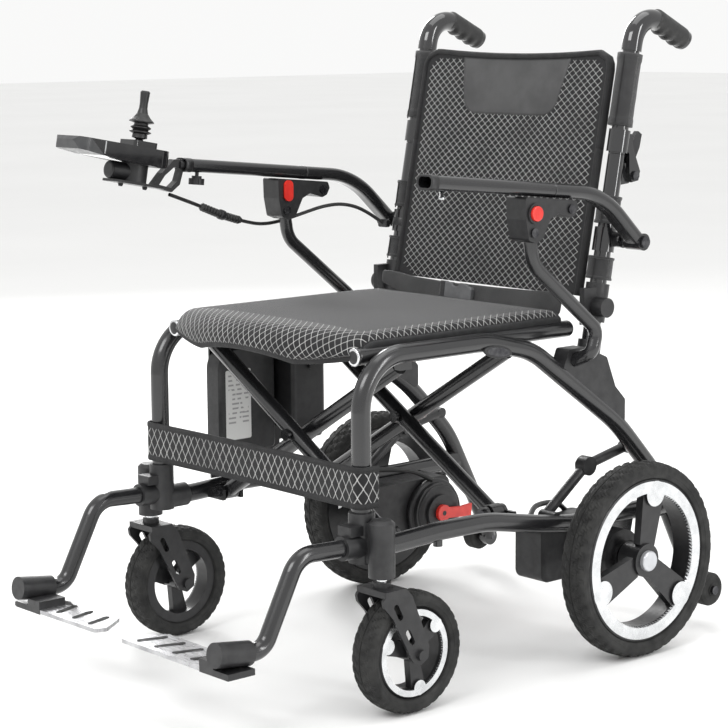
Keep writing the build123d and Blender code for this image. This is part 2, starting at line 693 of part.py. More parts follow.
def pod_mount():
    """The plate under the pod, its loop bracket and the bar that slides into the armrest."""
    loop = [(-486, 721.5), (-448, 711), (-432, 722), (-424, 746), (-424, 761), (-442, 762), (-466, 742)]
    window = [(-472, 724), (-450, 718), (-437, 728), (-431, 744), (-431, 747), (-442, 750), (-460, 738)]
    start = arm_point(-ARM_X, -432)
    with BuildPart() as piece:
        with BuildSketch(POD_TOP.offset(-58)):
            with Locations((42, 0)):
                RectangleRounded(96, 44, 10)
        extrude(amount=3.9)
        plate(loop, POD_X - 7, POD_X + 7)
        plate(window, POD_X - 8, POD_X + 8, mode=Mode.SUBTRACT)
        with BuildSketch(Plane(origin=start, x_dir=(1, 0, 0), z_dir=arm_point(-ARM_X, -332) - start)):
            RectangleRounded(22, 11, 3)
        extrude(amount=100)
        with BuildSketch(POD_TOP.offset(-61)):
            with Locations((20, 0), (66, 0)):
                Circle(4)
        extrude(amount=3.5)
    return piece


def clamp_knob():
    """The knob that clamps the pod's bar in the armrest."""
    foot = arm_point(-ARM_X, CLAMP_Y)
    with BuildPart() as piece:
        rod(foot + ARM_DOWN * 6.2, foot + ARM_DOWN * 20, 3)
        rod(foot + ARM_DOWN * 16, foot + ARM_DOWN * 20, 8)
        rod(foot + ARM_DOWN * 20, foot + ARM_DOWN * 30, 12.5)
        with BuildSketch(Plane(origin=foot + ARM_DOWN * 19, z_dir=ARM_DOWN)):
            with PolarLocations(14, 6):
                Circle(3)
        extrude(amount=12, mode=Mode.SUBTRACT)
    return piece


CABLE_ROUTE = [(-283, -448, 707), (-284, -425, 699), (-287, -388, 686), (-292, -341, 668), (-300, -290, 654),
               (-308, -245, 645), (-309, -204, 648), (-301, -163, 659), (-291, -124, 670), (-281, -87, 672),
               (-267, -52, 659), (-253, -26, 636)]
CABLE_R = 3.0
CONNECTOR_RUN = (2, 4)      # the connector lies round the route between these corners


def corner_radii(route):
    """The largest tangent arc that the two runs at each corner leave room for."""
    radii = []
    for before, corner, after in zip(route, route[1:], route[2:]):
        first = Vector(*corner) - Vector(*before)
        second = Vector(*after) - Vector(*corner)
        half_turn = radians(first.get_angle(second)) / 2
        radii.append(0.45 * min(first.length, second.length) / tan(half_turn))
    return radii


def joystick_cable():
    """The cable from the pod to the clip on the right back post."""
    radii = corner_radii(CABLE_ROUTE)
    print("joystick cable bend radii", [round(radius) for radius in radii])
    with BuildPart() as piece:
        bar([at(*point) for point in CABLE_ROUTE], radii, CABLE_R)
    return piece


def cable_connector():
    """The pair of corrugated strain reliefs and the plug halfway along the cable."""
    first, last = (Vector(*at(*CABLE_ROUTE[n])) for n in CONNECTOR_RUN)
    run = (last - first).normalized()
    length = (last - first).length
    with BuildPart() as piece:
        rod(first + run * 4, last - run * 6, 5)
        for step in range(9):
            rod(first + run * (6 + step * length / 10), first + run * (11 + step * length / 10), 7)
        bar([at(*point) for point in CABLE_ROUTE], corner_radii(CABLE_ROUTE), CABLE_R, mode=Mode.SUBTRACT)
    return piece


# The pieces

os.makedirs("parts", exist_ok=True)
write_pair(side_tube(), "side_tube")
write_pair(caster_housing(), "caster_housing")
write_pair(back_bracket(), "back_bracket")
write_pair(back_post(), "back_post")
write_pair(arm_strut(), "arm_strut")
write_pair(arm_latch(), "arm_latch")
write_pair(release_button(), "release_button")
write_pair(footrest_hanger(), "footrest_hanger")
write_pair(anti_tip_wheel(), "anti_tip_wheel")
write_pair(caster_fork(), "caster_fork")
write_pair(motor(), "motor")
write_pair(clutch_lever(), "clutch_lever")
write_pair(arm_tube(), "arm_tube")
write_pair(push_handle(), "push_handle")
write_pair(back_lever(), "back_lever")
write_pair(tyre(STEM_X, CASTER_WIDTH, CASTER_R, 66, STEM_Y + CASTER_TRAIL, CASTER_R), "caster_tyre")
write_pair(spoked_rim(STEM_X, 15, 66, 52, 13, BOLT_R + GAP, STEM_X + 18, 22, STEM_Y + CASTER_TRAIL,
                      CASTER_R, 40), "caster_rim")
write_pair(tyre(WHEEL_X, WHEEL_WIDTH, AXLE_Z, 126, 0, AXLE_Z), "rear_tyre")
write_pair(rear_rim(), "rear_rim")
write(lower_rail(LINK_A_Y), "left_lower_rail")
write(mirrored(lower_rail(LINK_B_Y)), "right_lower_rail")
write(bolts(LINK_A_Y), "left_bolts")
write(mirrored(bolts(LINK_B_Y)), "right_bolts")
write(footplate(4, 234), "left_footplate")
write(mirrored(footplate(50, 270)), "right_footplate")
write(cross_brace_a(), "cross_brace_a")
write(cross_brace_b(), "cross_brace_b")
write(seat_cushion(), "seat_cushion")
write(back_pad(-14, 206), "back_pad_lower")
write(back_pad(212, 366), "back_pad_upper")
write(calf_strap(), "calf_strap")
write(seat_belt(), "seat_belt")
write(battery_case(), "battery_case")
write(controller_box(), "controller_box")
write(pod_case(), "pod_case")
write(joystick_gimbal(), "joystick_gimbal")
write(joystick(), "joystick")
write(pod_mount(), "pod_mount")
write(clamp_knob(), "clamp_knob")
write(joystick_cable(), "joystick_cable")
write(cable_connector(), "cable_connector")
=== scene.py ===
from math import cos, exp, pi, radians, sin, sqrt

import bmesh
import bpy
import numpy as np
from mathutils import Matrix, Vector, noise
from mathutils.bvhtree import BVHTree


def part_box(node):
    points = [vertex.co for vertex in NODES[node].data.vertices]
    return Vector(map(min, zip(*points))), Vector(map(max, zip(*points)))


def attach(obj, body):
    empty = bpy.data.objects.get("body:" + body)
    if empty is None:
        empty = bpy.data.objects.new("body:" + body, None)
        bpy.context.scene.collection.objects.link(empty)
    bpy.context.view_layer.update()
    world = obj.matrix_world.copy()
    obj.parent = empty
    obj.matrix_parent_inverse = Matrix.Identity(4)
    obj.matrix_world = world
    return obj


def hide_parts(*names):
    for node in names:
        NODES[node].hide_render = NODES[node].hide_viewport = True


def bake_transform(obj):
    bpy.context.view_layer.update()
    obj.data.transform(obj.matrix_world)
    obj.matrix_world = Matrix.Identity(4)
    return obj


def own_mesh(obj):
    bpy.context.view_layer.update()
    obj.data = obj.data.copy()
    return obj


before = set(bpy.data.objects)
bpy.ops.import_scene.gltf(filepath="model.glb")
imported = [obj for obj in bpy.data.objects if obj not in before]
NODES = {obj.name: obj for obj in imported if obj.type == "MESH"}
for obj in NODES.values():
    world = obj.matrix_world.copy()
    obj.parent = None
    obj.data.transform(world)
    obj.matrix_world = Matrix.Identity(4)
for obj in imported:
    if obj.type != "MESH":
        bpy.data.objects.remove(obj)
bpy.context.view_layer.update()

X_AXIS = Vector((1, 0, 0))
Y_AXIS = Vector((0, 1, 0))
Z_AXIS = Vector((0, 0, 1))
SIDES = (("left", 1), ("right", -1))


# Materials

class Look:
    """A node material: a principled shader and the nodes that feed it."""

    def __init__(self, name, **sockets):
        self.material = bpy.data.materials.new(name)
        self.material.use_nodes = True
        self.tree = self.material.node_tree
        self.shader = self.tree.nodes["Principled BSDF"]
        for socket, value in sockets.items():
            self.shader.inputs[socket.replace("_", " ")].default_value = value

    def node(self, kind, inputs, output=0, **settings):
        made = self.tree.nodes.new(kind)
        for key, value in settings.items():
            setattr(made, key, value)
        for key, value in inputs.items():
            if isinstance(value, bpy.types.NodeSocket):
                self.tree.links.new(value, made.inputs[key])
            else:
                made.inputs[key].default_value = value
        return made.outputs[output]

    def math(self, operation, *values):
        return self.node("ShaderNodeMath", dict(enumerate(values)), operation=operation)

    def place(self):
        return self.node("ShaderNodeTexCoord", {}, "Object")

    def cloth(self):
        """The fabric coordinates stored on a soft piece: across, along and a third number."""
        return self.split(self.node("ShaderNodeAttribute", {}, "Vector", attribute_name="cloth"))

    def split(self, vector):
        parts = self.tree.nodes.new("ShaderNodeSeparateXYZ")
        self.tree.links.new(vector, parts.inputs[0])
        return parts.outputs

    def noise(self, scale, detail=3.0, stretch=(1, 1, 1)):
        at = self.node("ShaderNodeMapping", {"Vector": self.place(), "Scale": stretch})
        return self.node("ShaderNodeTexNoise", {"Vector": at, "Scale": scale, "Detail": detail})

    def ramp(self, value, low, high, start=0.35, end=0.65):
        return self.node("ShaderNodeMapRange", {"Value": value, "From Min": start, "From Max": end,
                                                "To Min": low, "To Max": high})

    def step(self, value, start, end):
        """0 before start and 1 after end, smooth between them."""
        return self.node("ShaderNodeMapRange", {"Value": value, "From Min": start, "From Max": end},
                         interpolation_type="SMOOTHSTEP")

    def blend(self, factor, first, second):
        mixed = self.tree.nodes.new("ShaderNodeMix")
        mixed.data_type = "RGBA"
        self.tree.links.new(factor, mixed.inputs[0])
        for slot, colour in ((6, first), (7, second)):
            if isinstance(colour, bpy.types.NodeSocket):
                self.tree.links.new(colour, mixed.inputs[slot])
            else:
                mixed.inputs[slot].default_value = (*colour, 1)
        return mixed.outputs[2]

    def feed(self, socket, value):
        self.tree.links.new(value, self.shader.inputs[socket])

    def bump(self, height, distance, strength=1.0):
        self.feed("Normal", self.node("ShaderNodeBump", {"Height": height, "Distance": distance,
                                                         "Strength": strength}))


def surface(name, dark, light, rough, grain=60.0, fine=900.0, relief=0.00006, stretch=(1, 1, 1), **sockets):
    """A paint, metal, rubber or plastic whose colour and gloss vary over it, with a fine grain."""
    look = Look(name, **sockets)
    broad = look.noise(grain, 4.0, stretch)
    look.feed("Base Color", look.blend(look.ramp(broad, 0, 1), dark, light))
    look.feed("Roughness", look.ramp(look.noise(grain * 2.3, 3.0, stretch), *rough))
    look.bump(look.noise(fine, 2.0, stretch), relief)
    return look.material


def weave_height(look, across, along, pitch):
    """A plain weave: threads that pass over and under each other."""
    waves = [look.math("SINE", look.math("MULTIPLY", value, 2 * pi / pitch)) for value in (across, along)]
    return look.math("MULTIPLY", waves[0], waves[1])


def plain_fabric(name, dark, light, rough, pitch=0.0016, relief=0.00025, **sockets):
    """A plain woven fabric. Its colour holds painted shade in the weave's low spots and painted highlight on
    its raised threads, with random tone over it.
    """
    look = Look(name, **sockets)
    across, along, _ = look.cloth()
    height = weave_height(look, across, along, pitch)
    broad = look.ramp(look.noise(25.0), -0.35, 0.35)
    # Painted shade and highlight: the colour follows the weave's bump height, darker low and lighter high;
    # the broad noise is random tone.
    look.feed("Base Color", look.blend(look.ramp(look.math("ADD", height, broad), 0, 1, -1, 1), dark, light))
    look.feed("Roughness", look.ramp(look.noise(60.0), *rough))
    look.bump(height, relief)
    return look.material


NET_SWAY = 0.012            # how far the yarn wanders, in cells
YARN_EDGES = (0.070, 0.035)  # where the yarn starts and is full, in cells from its centre


def net_fabric(name, cell, inside):
    """Silver yarn in a diamond net over black fabric. inside(look, p, q) is above 0 where the net is."""
    look = Look(name, Specular_IOR_Level=0.35, Sheen_Weight=0.25, Sheen_Roughness=0.4)
    p, q, _ = look.cloth()
    u = look.math("DIVIDE", p, cell[0])
    v = look.math("DIVIDE", q, cell[1])
    slants = look.math("ADD", u, v), look.math("SUBTRACT", u, v)
    gaps = []
    for this, other in (slants, slants[::-1]):
        sway = look.math("MULTIPLY", look.math("SINE", look.math("MULTIPLY", other, 2 * pi)), NET_SWAY)
        bent = look.math("FRACT", look.math("ADD", this, sway))
        gaps.append(look.math("SUBTRACT", 0.5, look.math("ABSOLUTE", look.math("SUBTRACT", bent, 0.5))))
    near = look.math("MINIMUM", *gaps)
    yarn = look.step(near, *YARN_EDGES)
    knot = look.step(look.math("MAXIMUM", *gaps), 0.16, 0.06)
    netted = look.step(inside(look, p, q), 0.0, 0.0012)
    net = look.math("MULTIPLY", yarn, netted)
    thread = weave_height(look, p, q, 0.0018)
    wear = look.ramp(look.noise(18.0), 0.7, 1.15)
    # Painted shade and highlight: the yarn, the ground and the unnetted fabric are each darker in the weave's
    # low spots and lighter on its raised threads.
    silver = look.blend(look.ramp(thread, 0, 1, -1, 1), (0.30, 0.30, 0.30), (0.42, 0.42, 0.41))
    silver = look.blend(knot, silver, (0.50, 0.50, 0.49))
    ground = look.blend(look.ramp(thread, 0, 1, -1, 1), (0.007, 0.007, 0.008), (0.014, 0.014, 0.015))
    edge = look.blend(look.ramp(thread, 0, 1, -1, 1), (0.010, 0.010, 0.011), (0.022, 0.022, 0.023))
    ground = look.blend(netted, edge, ground)
    look.feed("Base Color", look.blend(look.math("MULTIPLY", net, wear), ground, silver))
    look.feed("Roughness", look.ramp(net, 0.86, 0.5, 0, 1))
    look.bump(look.math("ADD", look.math("MULTIPLY", net, 1.0), look.math("MULTIPLY", thread, 0.15)), 0.0009)
    return look.material


def back_net(look, p, q):
    """The back's net stops short of its binding and is cut across its lower corners."""
    half = look.math("ABSOLUTE", p)
    sides = look.math("SUBTRACT", 0.1955, half)
    top = look.math("SUBTRACT", 0.3515, q)
    cut = look.math("ADD", look.math("MULTIPLY", look.math("SUBTRACT", half, 0.166), -0.534),
                    look.math("MULTIPLY", look.math("ADD", q, 0.012), 0.845))
    corner = look.math("MULTIPLY", look.math("SUBTRACT", 0.532, look.math("ADD", half, q)), 0.707)
    return look.math("MINIMUM", look.math("MINIMUM", sides, top), look.math("MINIMUM", cut, corner))


def seat_net(look, p, q):
    """The seat's net covers its front band and a strip along each side."""
    half = look.math("ABSOLUTE", p)
    front = look.math("SUBTRACT", -0.192, q)
    strip = look.math("SUBTRACT", half, 0.186)
    outer = look.math("SUBTRACT", 0.2115, half)
    hem = look.math("ADD", q, 0.2755)
    return look.math("MINIMUM", look.math("MAXIMUM", front, strip), look.math("MINIMUM", outer, hem))


def strap_net(look, p, q):
    """The calf strap's net runs between its two hems."""
    return look.math("SUBTRACT", 0.0225, look.math("ABSOLUTE", q))


def grey(value, blue=0.001):
    """A dark neutral colour, a touch bluer by default."""
    return value, value, value + blue


PAINT = surface("satin_black_paint", grey(0.009), grey(0.012), (0.22, 0.26), 12, 1500,
                0.000006, Coat_Weight=0.35, Coat_Roughness=0.12, Specular_IOR_Level=0.6)
POST_PAINT = surface("gloss_black_paint", grey(0.008), grey(0.010), (0.10, 0.14), 12, 1200,
                     0.000005, Coat_Weight=0.6, Coat_Roughness=0.05, Specular_IOR_Level=0.6)
CASTING = surface("cast_black", grey(0.010), grey(0.022), (0.36, 0.5), 50, 1100, 0.0001)
CHROME = surface("chrome", (0.62, 0.63, 0.64), (0.78, 0.78, 0.79), (0.06, 0.14), 40, 800, 0.00001,
                 Metallic=1.0)
DARK_STEEL = surface("blackened_steel", (0.05, 0.05, 0.055), (0.11, 0.11, 0.115), (0.2, 0.32), 90, 1500,
                     0.00003, Metallic=0.9)
SILVER = surface("machined_silver", (0.60, 0.61, 0.62), (0.74, 0.75, 0.76), (0.2, 0.3), 60, 1300, 0.00003,
                 Metallic=0.85)
CAP = surface("satin_cap", (0.50, 0.51, 0.53), (0.60, 0.61, 0.63), (0.28, 0.38), 40, 900, 0.00003,
              Metallic=0.55)
RUBBER = surface("tyre_rubber", grey(0.011, 0), (0.026, 0.026, 0.025), (0.62, 0.82), 35, 700, 0.00015,
                 Specular_IOR_Level=0.35)
RIM = surface("moulded_rim", grey(0.009), grey(0.016), (0.28, 0.4), 60, 1200, 0.00005)
PLASTIC = surface("black_plastic", grey(0.010), grey(0.018), (0.36, 0.48), 70, 1400, 0.00008)
GLOSS = surface("gloss_plastic", grey(0.006), grey(0.010), (0.08, 0.16), 45, 900, 0.00001,
                Coat_Weight=0.5, Coat_Roughness=0.04)
POD_GREY = surface("pod_front", (0.030, 0.031, 0.033), (0.045, 0.046, 0.048), (0.3, 0.4), 60, 1500, 0.00008)
RED = surface("red_plastic", (0.62, 0.018, 0.012), (0.74, 0.035, 0.022), (0.28, 0.4), 60, 1200, 0.00004,
              Coat_Weight=0.3, Coat_Roughness=0.1)
GRIP = surface("grip_rubber", grey(0.010, 0), grey(0.018, 0), (0.42, 0.58), 50, 1300, 0.00012)
BELLOWS = surface("bellows_rubber", grey(0.008, 0), grey(0.015, 0), (0.38, 0.52), 80, 1500, 0.0001)
SHEATH = surface("cable_sheath", grey(0.009, 0), grey(0.017, 0), (0.38, 0.5), 70, 1600, 0.00005)
BRUSHED = surface("brushed_aluminium", (0.34, 0.34, 0.35), (0.56, 0.56, 0.57), (0.26, 0.42), 30, 500, 0.00006,
                  (1, 14, 1), Metallic=0.9)
LEATHER = surface("patch_leather", grey(0.040), grey(0.062), (0.42, 0.56), 22, 650, 0.00018)
BUCKLE = surface("buckle_grey", (0.085, 0.087, 0.09), (0.12, 0.122, 0.126), (0.34, 0.46), 60, 1300, 0.00008)
WEAVE = plain_fabric("black_weave", grey(0.010), grey(0.030), (0.62, 0.78), Sheen_Weight=0.3,
                     Sheen_Roughness=0.45)
BINDING = plain_fabric("binding_tape", grey(0.009), grey(0.026), (0.55, 0.7), 0.0011, 0.0003)
WEBBING = plain_fabric("belt_webbing", grey(0.013), grey(0.036), (0.5, 0.64), 0.0022, 0.0005,
                       Sheen_Weight=0.2, Sheen_Roughness=0.4)
SEAT_CELL = (0.0125, 0.0132)
BACK_CELL = (0.0144, 0.0120)
STRAP_CELL = (0.0155, 0.0260)
BACK_NET = net_fabric("back_net", BACK_CELL, back_net)
SEAT_NET = net_fabric("seat_net", SEAT_CELL, seat_net)
STRAP_NET = net_fabric("strap_net", STRAP_CELL, strap_net)


# Shapes

def add_object(name, data):
    """A new object in the scene."""
    made = bpy.data.objects.new(name, data)
    bpy.context.scene.collection.objects.link(made)
    return made


def run_at(path, k):
    """A path's direction at a point, from its neighbours."""
    return (path[min(k + 1, len(path) - 1)] - path[max(k - 1, 0)]).normalized()


def place_mesh(name, mesh, material, body, smooth=True):
    """A new piece that rides on a CAD body."""
    piece = add_object(name, mesh)
    mesh.materials.append(material)
    mesh.polygons.foreach_set("use_smooth", [smooth] * len(mesh.polygons))
    if body:
        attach(piece, body)
    return piece


def from_rings(name, rings, material, body, close=True, caps=True, cloth=None, smooth=True):
    """A mesh that joins rings of points one to the next."""
    count = len(rings[0])
    faces = []
    turns = len(rings) - (0 if close == "loop" else 1)
    for k in range(turns):
        after = (k + 1) % len(rings)
        for n in range(count if close else count - 1):
            m = (n + 1) % count
            faces.append((k * count + n, k * count + m, after * count + m, after * count + n))
    if caps and close is True:
        faces += [tuple(range(count))[::-1], tuple(range((len(rings) - 1) * count, len(rings) * count))]
    mesh = bpy.data.meshes.new(name)
    mesh.from_pydata([tuple(point) for ring in rings for point in ring], [], faces)
    if cloth:
        store_cloth(mesh, cloth)
    return place_mesh(name, mesh, material, body, smooth)


def store_cloth(mesh, values):
    """Keep the fabric coordinates that the woven materials read."""
    data = mesh.attributes.new("cloth", "FLOAT_VECTOR", "POINT").data
    data.foreach_set("vector", np.array(values, np.float32).ravel())


def path_frames(path, side):
    """A tangent and two square directions at each point of a path, the first nearest to side."""
    frames = []
    for k in range(len(path)):
        run = run_at(path, k)
        across = (side - run * side.dot(run)).normalized()
        frames.append((across, run.cross(across)))
    return frames


def oval(a, b, count=16, power=2.0):
    """Points of a rounded section: an ellipse at power 2, nearer a rectangle above it."""
    points = []
    for n in range(count):
        turn = 2 * pi * n / count
        c, s = cos(turn), sin(turn)
        points.append((a * abs(c) ** (2 / power) * (1 if c >= 0 else -1),
                       b * abs(s) ** (2 / power) * (1 if s >= 0 else -1)))
    return points


def sweep(name, path, section, material, body, side=X_AXIS, loop=False, smooth=True, fabric=False):
    """A solid along a path. section is a list of 2-D points, or a function of the station that gives one."""
    path = [Vector(point) for point in path]
    rings, cloth = [], []
    along = 0.0
    for k, (point, (across, up)) in enumerate(zip(path, path_frames(path, side))):
        outline = section(k) if callable(section) else section
        rings.append([point + across * a + up * b for a, b in outline])
        along += (point - path[max(k - 1, 0)]).length
        turned = 0.0
        for n, (a, b) in enumerate(outline):
            turned += sqrt((a - outline[n - 1][0]) ** 2 + (b - outline[n - 1][1]) ** 2) if n else 0.0
            cloth.append((turned, along, 0))
    return from_rings(name, rings, material, body, close="loop" if loop else True, smooth=smooth,
                      cloth=cloth if fabric else None)


def lathe(name, profile, origin, axis, material, body, steps=48, smooth=True):
    """A closed solid of revolution from (along, radius) points."""
    axis = Vector(axis).normalized()
    first = axis.orthogonal().normalized()
    second = axis.cross(first)
    rings = []
    for along, radius in profile:
        centre = Vector(origin) + axis * along
        rings.append([centre + (first * cos(2 * pi * n / steps) + second * sin(2 * pi * n / steps)) * radius
                      for n in range(steps)])
    return from_rings(name, rings, material, body, smooth=smooth)


def slab(name, outline, origin, right, up, depth, material, body, bevel=0.0008, segments=2):
    """A flat-sided piece from a 2-D outline, with bevelled edges."""
    origin, right, up = Vector(origin), Vector(right), Vector(up)
    out = right.cross(up).normalized() * depth
    base = [origin + right * a + up * b for a, b in outline]
    count = len(base)
    mesh = bpy.data.meshes.new(name)
    faces = [tuple(range(count))[::-1], tuple(range(count, 2 * count))]
    faces += [(n, (n + 1) % count, (n + 1) % count + count, n + count) for n in range(count)]
    mesh.from_pydata([tuple(p) for p in base + [p + out for p in base]], [], faces)
    piece = place_mesh(name, mesh, material, body, smooth=False)
    if bevel:
        edge = piece.modifiers.new("edge", "BEVEL")
        edge.width = bevel
        edge.segments = segments
        edge.limit_method = "ANGLE"
        edge.angle_limit = radians(50)
    return piece


def rounded(width, height, radius, steps=5):
    """The outline of a rounded rectangle about the origin."""
    points = []
    for cx, cy, start in ((1, 1, 0), (-1, 1, 90), (-1, -1, 180), (1, -1, 270)):
        for n in range(steps + 1):
            turn = radians(start + 90 * n / steps)
            points.append((cx * (width / 2 - radius) + radius * cos(turn),
                           cy * (height / 2 - radius) + radius * sin(turn)))
    return points


def curve_points(points, smoothness=12, weight=0.5):
    """A smooth line through points, for bindings, sleeves and wires fixed to the chair."""
    points = [Vector(p) for p in points]
    line = []
    for k in range(len(points) - 1):
        a, b = points[max(k - 1, 0)], points[k]
        c, d = points[k + 1], points[min(k + 2, len(points) - 1)]
        for n in range(smoothness):
            t = n / smoothness
            m0, m1 = (c - a) * weight, (d - b) * weight
            line.append(b * (2 * t**3 - 3 * t**2 + 1) + m0 * (t**3 - 2 * t**2 + t)
                        + c * (-2 * t**3 + 3 * t**2) + m1 * (t**3 - t**2))
    return line + [points[-1]]


# Soft goods

def cloth_pad(name, columns, rows, top, bottom, fabric, material):
    """A closed pad between two surfaces of (i, j), both from 0 to 1, with fabric coordinates."""
    verts, cloth = [], []
    for surface_of in (top, bottom):
        for j in range(rows + 1):
            for i in range(columns + 1):
                point = surface_of(i / columns, j / rows)
                verts.append(tuple(point))
                cloth.append((*fabric(i / columns, j / rows), 0))

    def index(side, i, j):
        return side * (columns + 1) * (rows + 1) + j * (columns + 1) + i

    faces = []
    for j in range(rows):
        for i in range(columns):
            square = [(i, j), (i + 1, j), (i + 1, j + 1), (i, j + 1)]
            faces.append(tuple(index(0, *corner) for corner in square))
            faces.append(tuple(index(1, *corner) for corner in square[::-1]))
    border = [(i, 0) for i in range(columns)] + [(columns, j) for j in range(rows)]
    border += [(i, rows) for i in range(columns, 0, -1)] + [(0, j) for j in range(rows, 0, -1)]
    for this, after in zip(border, border[1:] + border[:1]):
        faces.append((index(0, *this), index(1, *this), index(1, *after), index(0, *after)))
    mesh = bpy.data.meshes.new(name)
    mesh.from_pydata(verts, [], faces)
    store_cloth(mesh, cloth)
    return place_mesh(name, mesh, material, None)


def inflate(pad, held, cap, pressure=4.0):
    """Swell a pad by cloth simulation. held(point) is 1 where it is sewn down, and cap limits the swell."""
    mesh = pad.data
    rest = [v.co.copy() for v in mesh.vertices]
    pins = pad.vertex_groups.new(name="sewn")
    for v in mesh.vertices:
        pins.add([v.index], held(v.co), "REPLACE")
    moved = rest
    cloth = pad.modifiers.new("cloth", "CLOTH")
    cloth.settings.quality = 4
    cloth.settings.mass = 0.3
    cloth.settings.tension_stiffness = 12
    cloth.settings.compression_stiffness = 12
    cloth.settings.bending_stiffness = 0.4
    cloth.settings.use_pressure = True
    cloth.settings.uniform_pressure_force = pressure
    cloth.settings.effector_weights.gravity = 0
    cloth.settings.vertex_group_mass = "sewn"
    cloth.collision_settings.use_collision = False
    scene = bpy.context.scene
    for number in range(1, 21):
        scene.frame_set(number)
    swollen = pad.evaluated_get(bpy.context.evaluated_depsgraph_get())
    moved = [v.co.copy() for v in swollen.data.vertices]
    pad.modifiers.remove(cloth)
    scene.frame_set(1)
    pad.vertex_groups.remove(pins)
    for v, start, end in zip(mesh.vertices, rest, moved):
        step = end - start
        size = step.length
        if size > 1e-9:
            v.co = start + step * (cap * (1 - exp(-size / cap)) / size)
    mesh.update()


def subdivide(piece, levels=1):
    """Subdivide the final mesh, so that nothing coarse is left."""
    smooth = piece.modifiers.new("smooth", "SUBSURF")
    smooth.levels = levels
    smooth.render_levels = levels
    done = bpy.data.meshes.new_from_object(piece.evaluated_get(bpy.context.evaluated_depsgraph_get()))
    piece.modifiers.remove(smooth)
    piece.data = done


def fold_flat(piece):
    """Give a soft piece its own copy of its mesh."""
    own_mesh(piece)


BACK_FOOT = Vector((0, 0.2515, 0.564))
BACK_UP = Vector((0, 0.19423, 0.98096))
BACK_AHEAD = Vector((0, -0.98096, 0.19423))
BACK_HALF = 0.2105
POST_X = 0.230
BACK_LOW = -0.013
BACK_HIGH = 0.3655
BACK_SPLIT = 0.209
BACK_CORNER = 0.026


def on_back(x, up, ahead):
    """A point by its distances across, up and ahead of the back posts' plane."""
    return BACK_FOOT + X_AXIS * x + BACK_UP * up + BACK_AHEAD * ahead


def back_coordinates(i, j):
    """Across and up the back, with rounded upper corners and a top edge that dips in the middle."""
    s = 2 * i - 1
    high = BACK_HIGH - 0.006 * (1 - s * s)
    up = BACK_LOW + (high - BACK_LOW) * j
    over = max(0.0, up - (high - BACK_CORNER))
    half = BACK_HALF - BACK_CORNER + sqrt(max(BACK_CORNER**2 - over**2, 0.0))
    return s * half, up


def back_depth(x, up):
    """How far the sling sags behind its edges."""
    spread = min(1.0, max(0.0, (up - BACK_LOW) / (BACK_HIGH - BACK_LOW)))
    return 0.009 * (1 - (x / BACK_HALF) ** 2) * (0.55 + 0.45 * sin(pi * spread))


def back_front(i, j):
    """The front of the back pad before it swells."""
    x, up = back_coordinates(i, j)
    ripple = 0.0007 * noise.noise(Vector((x * 14, up * 10, 3.1)))
    return on_back(x, up, 0.0185 - back_depth(x, up) + ripple)


def back_rear(i, j):
    """The rear of the back pad before it swells."""
    x, up = back_coordinates(i, j)
    return on_back(x, up, 0.0095 - back_depth(x, up))


def back_held(point):
    """How firmly the back pad is sewn down at a point."""
    local = point - BACK_FOOT
    x, up = local.x, local.dot(BACK_UP)
    margin = min(BACK_HALF - abs(x), BACK_HIGH - 0.006 - up, up - BACK_LOW)
    return 1.0 if margin < 0.012 else max(0.0, 0.5 - (margin - 0.012) * 30)


def split_pad(pad, name, body, keep_above):
    """One panel of the back, cut from the whole at the folding hinge."""
    mesh = pad.data.copy()
    cutter = bmesh.new()
    cutter.from_mesh(mesh)
    cut = on_back(0, BACK_SPLIT, 0)
    bmesh.ops.bisect_plane(cutter, geom=cutter.verts[:] + cutter.edges[:] + cutter.faces[:], plane_co=cut,
                           plane_no=BACK_UP, clear_inner=keep_above, clear_outer=not keep_above)
    rim = [e for e in cutter.edges if e.is_boundary]
    bmesh.ops.holes_fill(cutter, edges=rim, sides=0)
    cutter.to_mesh(mesh)
    cutter.free()
    piece = add_object(name, mesh)
    mesh.polygons.foreach_set("use_smooth", [True] * len(mesh.polygons))
    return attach(piece, body)


